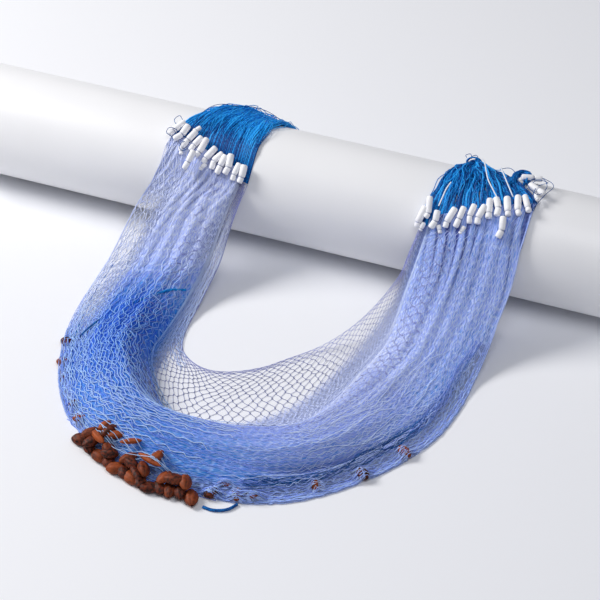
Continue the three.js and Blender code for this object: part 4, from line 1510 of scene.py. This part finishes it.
class GILLNET_OT_inner_sheet(bpy.types.Operator):
    """Lays the fine inner layers, too many to make thread by thread, as one thin sheet on the folds: a grid
    of section and place across, raised to a share of the webbing's top, with an underside and a rim."""

    bl_idname = "gill_net.inner_sheet"
    bl_label = "Inner Sheet"

    def execute(self, context):
        net = context.scene.gill_net_webbing
        along, beside = (steps + 1 for steps in INNER_STEPS)
        section = np.broadcast_to(np.linspace(0, LAST_SECTION, along)[:, None], (along, beside))
        place = np.linspace(INNER_EDGE, 1, beside)
        outer = by_section(OUTER_EDGE, "across", section)
        x, w, across, top, crease = gathered_top(section, np.where(place > 0, place * outer, place))
        h = np.maximum(INNER_SHARE * top, 2 * INNER_THICKNESS)
        h = np.maximum(h, sinker_tops(x, w, EDGE_SINKERS))
        upper, lower = drape(x, w, h), drape(x, w, h - INNER_THICKNESS)
        points = np.concatenate([upper.reshape(-1, 3), lower.reshape(-1, 3)])
        index = np.arange(along * beside).reshape(along, beside)
        quads = np.stack([index[:-1, :-1], index[1:, :-1], index[1:, 1:], index[:-1, 1:]], axis=-1)
        quads = quads.reshape(-1, 4)
        rim = np.concatenate([index[0, :-1], index[:-1, -1], index[-1, :0:-1], index[:0:-1, 0]])
        ahead = np.roll(rim, -1)
        below = along * beside
        wall = np.stack([rim, ahead, ahead + below, rim + below], axis=-1)
        faces = [np.concatenate([quads, quads[:, ::-1] + below, wall])]
        lengths, widths = (path_lengths(path)[:, -1].mean() for path in (upper.swapaxes(0, 1), upper))
        corner = faces[0].ravel() % below
        run = np.interp(section, FINE_SECTION, FINE_LENGTH) * MM
        uv = np.stack([run.ravel()[corner], (across.ravel() * widths)[corner]], axis=-1)
        # crease: strength of the shade painted in the creases
        fields = dict(azure=azure_at(section, across), cover=inner_cover(section, across), crease=crease)
        fields = {name: np.tile(np.clip(field, 0, 1).ravel(), 2) for name, field in fields.items()}
        finish = inner_finish(net)
        piece = add_piece("webbing_inner", (points, faces), finish, "webbing", ["webbing"], uv, **fields)
        return {"FINISHED"}


class GILLNET_OT_open_web(bpy.types.Operator):
    """Lays the single layer of mesh along the inner side of the U: its threads run across, from an edge of
    straight threads into the bundle's rim."""

    bl_idname = "gill_net.open_web"
    bl_label = "Open Web"

    def execute(self, context):
        net = context.scene.gill_net_webbing
        rng = np.random.default_rng(net.seed + 1)
        lengths = lengths_along(WEB_MIDDLE)
        columns = int(lengths[-1] / WEB_PITCH)
        down, over, width = lattice(rng, columns, WEB_ROWS, KNOTTED_THREAD, WEB_STRAY)
        section = np.interp(over / columns * lengths[-1], lengths, FINE_SECTION)
        across = lerp(-1, WEB_REACH, np.clip(down / (WEB_ROWS - 1), 0, 1) ** WEB_GATHER)
        mesh = self.lay(rng, net, section, across, width)
        stops = FINE_SECTION[::EDGE_STEP]
        edge = np.broadcast_to(stops, (EDGE_THREADS, len(stops)))
        away = np.linspace(0, EDGE_WIDTH, EDGE_THREADS)[:, None]
        thread = np.broadcast_to(np.arange(EDGE_THREADS)[:, None], edge.shape)
        wave = EDGE_WIDTH / 2 * wander(rng, edge * EDGE_CELLS, thread)
        beside = -1 + away + np.where(away > 0, wave, 0)
        border = self.lay(rng, net, edge, beside, np.full(edge.shape, EDGE_SIZE))
        shape = joined(mesh[0], border[0])
        pale = np.concatenate([mesh[1].ravel(), border[1].ravel()])
        uv = thread_map(shape, pale, np.full(pale.shape, 0.5))
        piece = add_piece("webbing_open", shape, web_finish(net), "webbing", ["webbing"], uv, "OFBake")
        declare_net(np.concatenate([mesh[2], border[2]]), width.mean() * net.web_thread)
        return {"FINISHED"}

    @staticmethod
    def lay(rng, net, section, across, width):
        """Tubes on the webbing's inner side, how pale each point is, and the threads' lengths."""
        x, w, crest = webbing_place(section, across)
        h = WEB_SEAT + WEB_LIFT * (1 + wander(rng, section * WEB_CELLS[0], (across + 1) * WEB_CELLS[1]))
        h = h + smoothstep(across, *WEB_RISE) * webbing_top(section, across, crest)
        paths = drape(x, w, h)
        pale = smoothstep(across, *WEB_PALE["bundle"]) + 1 - smoothstep(section, *WEB_PALE["left"])
        pale = pale + smoothstep(section, *WEB_PALE["right"])
        pale = pale + WEB_PALE["edge_share"] * (1 - smoothstep(across, *WEB_PALE["edge"]))
        shape = tubes(paths, net.web_thread / 2 * width[..., None], THREAD_SIDES)
        return shape, pale, path_lengths(paths)[:, -1]


class GILLNET_OT_head_ropes(bpy.types.Operator):
    """Fans the strands of each head rope from its bound head to the floats, with loose twine and tape."""

    bl_idname = "gill_net.head_ropes"
    bl_label = "Head Ropes"

    def execute(self, context):
        ropes = context.scene.gill_net_ropes
        finish = rope_finish(ropes, "strand_rope", 140)
        for number, (side, head) in enumerate(HEADS.items()):
            rng = np.random.default_rng(SEEDS["head_ropes"] + number)
            bunch = self.strand_paths(rng, head, ropes.strands)
            # Painted light and shade along each strand, by its share of the way to the floats
            painted_light = lerp(*head["painted_light"], smoothstep(np.linspace(0, 1, bunch.shape[1]), *STRAND_PAINTED_LIGHT))
            frayed = self.strand_paths(rng, head, head["frayed"], **FRAYED)
            twines = self.laid(TWINES[side], TWINE_STEPS)
            parts = [
                (
                    bunch, rng.uniform(*STRAND_SIZES, len(bunch)) * ropes.strand,
                    rng.normal(head["tone"], STRAND_TONE_SPREAD, (len(bunch), 1)) + painted_light,
                ),
                (frayed, ropes.twine * FRAYED_SIZE, rng.uniform(*FRAYED_TONES, (len(frayed), 1)) + painted_light),
                (twines, ropes.twine, rng.uniform(*TWINE_TONES, (len(twines), 1))),
                (self.binding(head)[None], ropes.twine * BINDING_SIZE, BINDING_TONE),
            ]
            if side == "right":
                tuft = self.tuft(rng)
                parts.append((tuft, ropes.strand * TUFT_SIZE, rng.uniform(*TUFT_TONES, (TUFT, 1))))
            self.add_strands(f"head_strands_{side}", f"head_rope_{side}", parts, finish)
        self.add_tapes(ropes)
        return {"FINISHED"}

    @staticmethod
    def laid(routes, count):
        """Smooth paths on the drape through the stops of each route."""
        return np.stack([drape(*smooth_route(stops, count).T) for stops in routes])

    @staticmethod
    def strand_paths(rng, head, count, stand_off=0, restless=1.0):
        """From the head a strand sweeps along the tube on part of an ellipse and then runs straight to the
        float row. It lies higher the nearer it is to the crown of the bunch and to the head, and it wavers a
        little. Its tail runs on a little past the head."""
        share = ((np.arange(count) + rng.uniform(0, 1, count)) / count)[:, None]
        end = {name: column[head["section"]] for name, column in SECTIONS.items()}
        foot_x = lerp(end["inner_x"], end["outer_x"], share)
        foot_w = lerp(end["inner_w"], end["outer_w"], share) - STRAND_END_GAP
        knee_w = foot_w - head["straight"] * (1 - head["shorten"] * share**2)
        root_x = head["x"] + (share - 0.5) * head["spread_x"]
        root_w = head["w"] + (0.5 - share) * head["spread_w"]
        t = lerp(-rng.uniform(*STRAND_TAILS, (count, 1)), 1, np.linspace(0, 1, STRAND_STEPS))
        turn = t * np.pi / 2
        sweep = head["sweep"] * (1 - head["ease"] * share**2)
        x = lerp(root_x, foot_x, lerp(t, np.sin(turn), sweep))
        w = lerp(root_w, knee_w, lerp(t, 1 - np.cos(turn), sweep))
        crown = np.maximum(np.sin(np.pi * share ** head["lean"]), CROWN_LEAST)
        layer = rng.uniform(0, 1, (count, 1))
        h = STRAND_HEIGHT + (layer * head["stack"] + stand_off * np.clip(t, 0, 1)) * crown * (1 - t**2)
        strand = np.broadcast_to(np.arange(count)[:, None], x.shape)
        waver = STRAND_WAVER * head["waver"] * restless * np.sin(np.pi * np.clip(t, 0, 1))
        x = x + waver * wander(rng, t * STRAND_CELLS[0], strand)
        w = w + 0.5 * waver * wander(rng, t * STRAND_CELLS[1], strand)
        h = h + 0.5 * waver * wander(rng, t * STRAND_CELLS[1], strand)
        x = np.concatenate([x, foot_x], axis=1)
        w = np.concatenate([w, foot_w], axis=1)
        h = np.concatenate([h, np.full((count, 1), STRAND_HEIGHT)], axis=1)
        return drape(x, w, np.maximum(h, STRAND_HEIGHT))

    @staticmethod
    def binding(head):
        """Twine wound round the head: an ellipse about the strands that moves on by a pitch in each turn."""
        turn = np.linspace(0, BINDING_TURNS, BINDING_STEPS * BINDING_TURNS)
        beside, over = np.cos(2 * np.pi * turn), np.sin(2 * np.pi * turn)
        margin, margin_above = BINDING_MARGINS
        onward = BINDING_PITCH * turn
        h = (head["stack"] / 2 + margin_above) * (BINDING_LIFT + over)
        if head["spread_x"]:
            return drape(head["x"] + (head["spread_x"] / 2 + margin) * beside, head["w"] + onward, h)
        return drape(head["x"] - onward, head["w"] + (head["spread_w"] / 2 + margin) * beside, h)

    def tuft(self, rng):
        """Loops of a small bunch: each follows the same stops with a random shift of its own."""
        shifts = rng.uniform(-TUFT_SHIFT, TUFT_SHIFT, (TUFT, len(TUFT_STOPS), 3))
        stops = np.array(TUFT_STOPS, float) + shifts
        stops[..., 2] = np.maximum(stops[..., 2], STRAND_HEIGHT)
        return self.laid(stops, TUFT_STEPS)

    @staticmethod
    def add_strands(name, node, parts, finish):
        """One piece of several sets of strands: each set has paths, a diameter for all of them or for each,
        and a tone for all of them, for each or for each of their points."""
        shapes, along, tones = [], [], []
        for paths, diameter, tone in parts:
            radius = np.broadcast_to(diameter, len(paths))[:, None, None] / 2
            shapes.append(tubes(paths, radius, STRAND_SIDES, off_tube(paths)))
            along.append(path_lengths(paths).ravel())
            tones.append(np.repeat(np.broadcast_to(np.clip(tone, 0, 1), paths.shape[:2]), STRAND_SIDES))
        shape = joined(*shapes)
        uv = rope_map(shape, np.concatenate(along))
        add_piece(name, shape, finish, "rope", [node], uv, tone=np.concatenate(tones))

    def add_tapes(self, ropes):
        """White tape left between the strands: flat ribbons along their stops."""
        paths = self.laid(TAPES, TAPE_STEPS)
        angle = 2 * np.pi * (np.arange(STRAND_SIDES) + 0.5) / STRAND_SIDES
        wide, thick = (reach * ropes.twine for reach in TAPE_REACH)
        ribbon = 1 / np.hypot(np.cos(angle) / wide, np.sin(angle) / thick)
        shape = tubes(paths, ribbon, STRAND_SIDES, off_tube(paths))
        add_piece("head_tapes", shape, tape_finish(), "float")


class GILLNET_OT_floats(bpy.types.Operator):
    """Makes the foam floats: bent cylinders with eased ends and a crease where the twine ties them."""

    bl_idname = "gill_net.floats"
    bl_label = "Floats"

    def execute(self, context):
        floats = context.scene.gill_net_floats
        finish = foam_finish(floats)
        for number, side in enumerate(FLOATS):
            rng = np.random.default_rng(SEEDS["floats"] + number)
            rows, bits = FLOATS[side], FLOAT_BITS[side]
            whole, short = len(rows["x"]), len(bits["x"])
            count = whole + short
            x, w, turn, rise = (np.concatenate([rows[name], bits[name]]) for name in rows)
            lengths = np.concatenate([rng.uniform(*FLOAT_LENGTHS, whole), np.full(short, BIT_LENGTH)])
            lengths = lengths[:, None]
            middle = drape(x, w, FLOAT_HEIGHT + rise)
            normal = unit(drape(x, w, 1) - drape(x, w, 0))
            down = unit(drape(x, w + 1, 0) - drape(x, w - 1, 0))
            angle = np.radians(turn)[:, None]
            axis = down * np.cos(angle) + np.cross(normal, down) * np.sin(angle)
            across = np.cross(axis, normal)
            crease = rng.uniform(*FLOAT_CREASES, (count, 1))
            share = FLOAT_OUTLINE["along"]
            along = np.where(share < 0, (share + 1) * (crease + 1) - 1, share * (1 - crease) + crease)
            bend = rng.normal(0, FLOAT_BEND, (count, 1)) * lengths * np.abs(along - crease)
            paths = middle[:, None] + (along * lengths)[..., None] * floats.length / 2 * axis[:, None]
            paths = paths + bend[..., None] * across[:, None]
            lower = np.where(share > 0, rng.uniform(*FLOAT_ENDS, (count, 1)), 1)
            radius = floats.radius * FLOAT_OUTLINE["radius"] * lower * rng.uniform(*FLOAT_SIZES, (count, 1))
            radius = radius * np.where(np.arange(count) < whole, 1, BIT_SIZE)[:, None]
            shape = tubes(paths, radius[..., None], FLOAT_SIDES, normal[:, None])
            nodes = [f"float_{side}_{k + 1}" for k in range(whole)]
            tied = np.tile(np.repeat(share == 0, FLOAT_SIDES), count)
            add_piece(f"floats_{side}", shape, finish, "float", nodes, tone=tied)
        return {"FINISHED"}


class GILLNET_OT_foot_ropes(bpy.types.Operator):
    """Lays the thin lines of the foot rope along the outer edge where they show."""

    bl_idname = "gill_net.foot_ropes"
    bl_label = "Foot Ropes"

    def execute(self, context):
        ropes = context.scene.gill_net_ropes
        net = context.scene.gill_net_webbing
        finish = rope_finish(ropes, "foot_rope", 90, tuple(net.inner_periwinkle))
        for number, (side, rope) in enumerate(FOOT_ROPES.items()):
            rng = np.random.default_rng(SEEDS["foot_ropes"] + number)
            strands = rope["strands"]
            stops = np.linspace(rope["start"], rope["end"], FOOT_ROPE_STEPS)
            section = np.broadcast_to(stops, (strands, FOOT_ROPE_STEPS))
            strand = np.broadcast_to(np.arange(strands)[:, None], section.shape)
            across = FOOT_ROPE_ACROSS + rope["fan"] * wander(rng, section * FOOT_ROPE_CELLS[0], strand)
            rise = rope["rise"] - 1 + wander(rng, section * FOOT_ROPE_CELLS[1], strand)
            paths = on_webbing(section, across, rise)
            shape = tubes(paths, ropes.cord / FOOT_ROPE_PART, STRAND_SIDES)
            uv = rope_map(shape, path_lengths(paths))
            tone = rng.uniform(*FOOT_ROPE_TONES, (strands, 1)) + rope["tone"]
            tone = np.clip(tone + smoothstep(section, *FOOT_ROPE_FADE), 0, 1)
            tone = np.repeat(tone, STRAND_SIDES)
            add_piece(f"foot_line_{side}", shape, finish, "rope", [f"foot_rope_{side}"], uv, tone=tone)
        return {"FINISHED"}


class GILLNET_OT_sinkers(bpy.types.Operator):
    """Makes the clay sinkers: flattened olives with lengthwise grooves and a hole through their ends."""

    bl_idname = "gill_net.sinkers"
    bl_label = "Sinkers"

    def execute(self, context):
        sinkers = context.scene.gill_net_sinkers
        rng = np.random.default_rng(SEEDS["sinkers"])
        count, first = len(ALL_SINKERS["x"]), len(SINKERS["x"])
        middle = np.stack([ALL_SINKERS[name] for name in "xyz"], axis=1) * MM
        turn, tilt = np.radians(ALL_SINKERS["turn"])[:, None], np.radians(ALL_SINKERS["tilt"])[:, None]
        axis = np.concatenate([-np.sin(turn), np.cos(turn), 0 * turn], axis=1)
        level = np.concatenate([np.cos(turn), np.sin(turn), 0 * turn], axis=1)
        up = level * np.sin(tilt) + np.array([0, 0, 1]) * np.cos(tilt)
        length, width, thickness = rng.uniform(*SINKER_SIZES, (3, count, 1))
        length = length * SINKER_LENGTHS[:, None] * sinkers.length
        width = width * SINKER_WIDTHS[:, None] * sinkers.width
        thickness = thickness * np.minimum(SINKER_WIDTHS * SINKER_FLATNESS, 1)[:, None] * sinkers.thickness
        paths = middle[:, None] + (SINKER_OUTLINE["along"] * length / 2)[..., None] * axis[:, None]
        angle = 2 * np.pi * (np.arange(SINKER_SIDES) + 0.5) / SINKER_SIDES
        round_ = 1 / np.hypot(np.cos(angle) / width, np.sin(angle) / thickness) / 2
        start = rng.uniform(0, 2 * np.pi, (count, 1, 1))
        twist = rng.uniform(-GROOVE_TWIST, GROOVE_TWIST, (count, 1, 1)) * SINKER_OUTLINE["along"][:, None]
        wave = np.abs(np.cos(SINKER_GROOVES / 2 * angle + start + twist))
        groove = 1 - GROOVE_DEPTH * wave**GROOVE_SHARPNESS
        radius = SINKER_OUTLINE["radius"][:, None] * round_[:, None] * groove
        shape = tubes(paths, radius, SINKER_SIDES, up[:, None], axis[:, None])
        shape[0][:, 2] = np.maximum(shape[0][:, 2], 0)
        nodes = [f"sinker_{k + 1}" for k in range(first)]
        bright = np.concatenate([rng.uniform(*SINKER_TONES, first), MORE_SINKERS["bright"]])
        worn = bright[:, None, None] + (groove - 1) / GROOVE_DEPTH * GROOVE_WEAR
        tone = np.clip(worn, 0, 1).ravel()
        add_piece("sinkers", shape, clay_finish(sinkers), "clay", nodes, tone=tone)
        return {"FINISHED"}


OPERATORS = (
    GILLNET_OT_stage,
    GILLNET_OT_cords,
    GILLNET_OT_tube,
    GILLNET_OT_inner_sheet,
    GILLNET_OT_webbing,
    GILLNET_OT_open_web,
    GILLNET_OT_head_ropes,
    GILLNET_OT_floats,
    GILLNET_OT_foot_ropes,
    GILLNET_OT_sinkers,
)


class GILLNET_PT_sidebar(bpy.types.Panel):
    """Lists the net's pieces."""

    bl_idname = "GILLNET_PT_sidebar"
    bl_label = "Gill Net"
    bl_space_type = "VIEW_3D"
    bl_region_type = "UI"
    bl_category = "Gill Net"

    def draw(self, context):
        for operator in OPERATORS:
            self.layout.operator(operator.bl_idname)


SETTINGS = {
    "gill_net_stage": GillNetStage,
    "gill_net_webbing": GillNetWebbing,
    "gill_net_ropes": GillNetRopes,
    "gill_net_floats": GillNetFloats,
    "gill_net_sinkers": GillNetSinkers,
}
CLASSES = (*SETTINGS.values(), *OPERATORS, GILLNET_PT_sidebar)


def register():
    for cls in CLASSES:
        bpy.utils.register_class(cls)
    for name, group in SETTINGS.items():
        setattr(bpy.types.Scene, name, bpy.props.PointerProperty(type=group))


def unregister():
    for name in SETTINGS:
        delattr(bpy.types.Scene, name)
    for cls in reversed(CLASSES):
        bpy.utils.unregister_class(cls)


def main():
    """Makes every piece in order."""
    register()
    for operator in OPERATORS:
        category, name = operator.bl_idname.split(".")
        getattr(getattr(bpy.ops, category), name)()


if __name__ == "__main__":
    main()
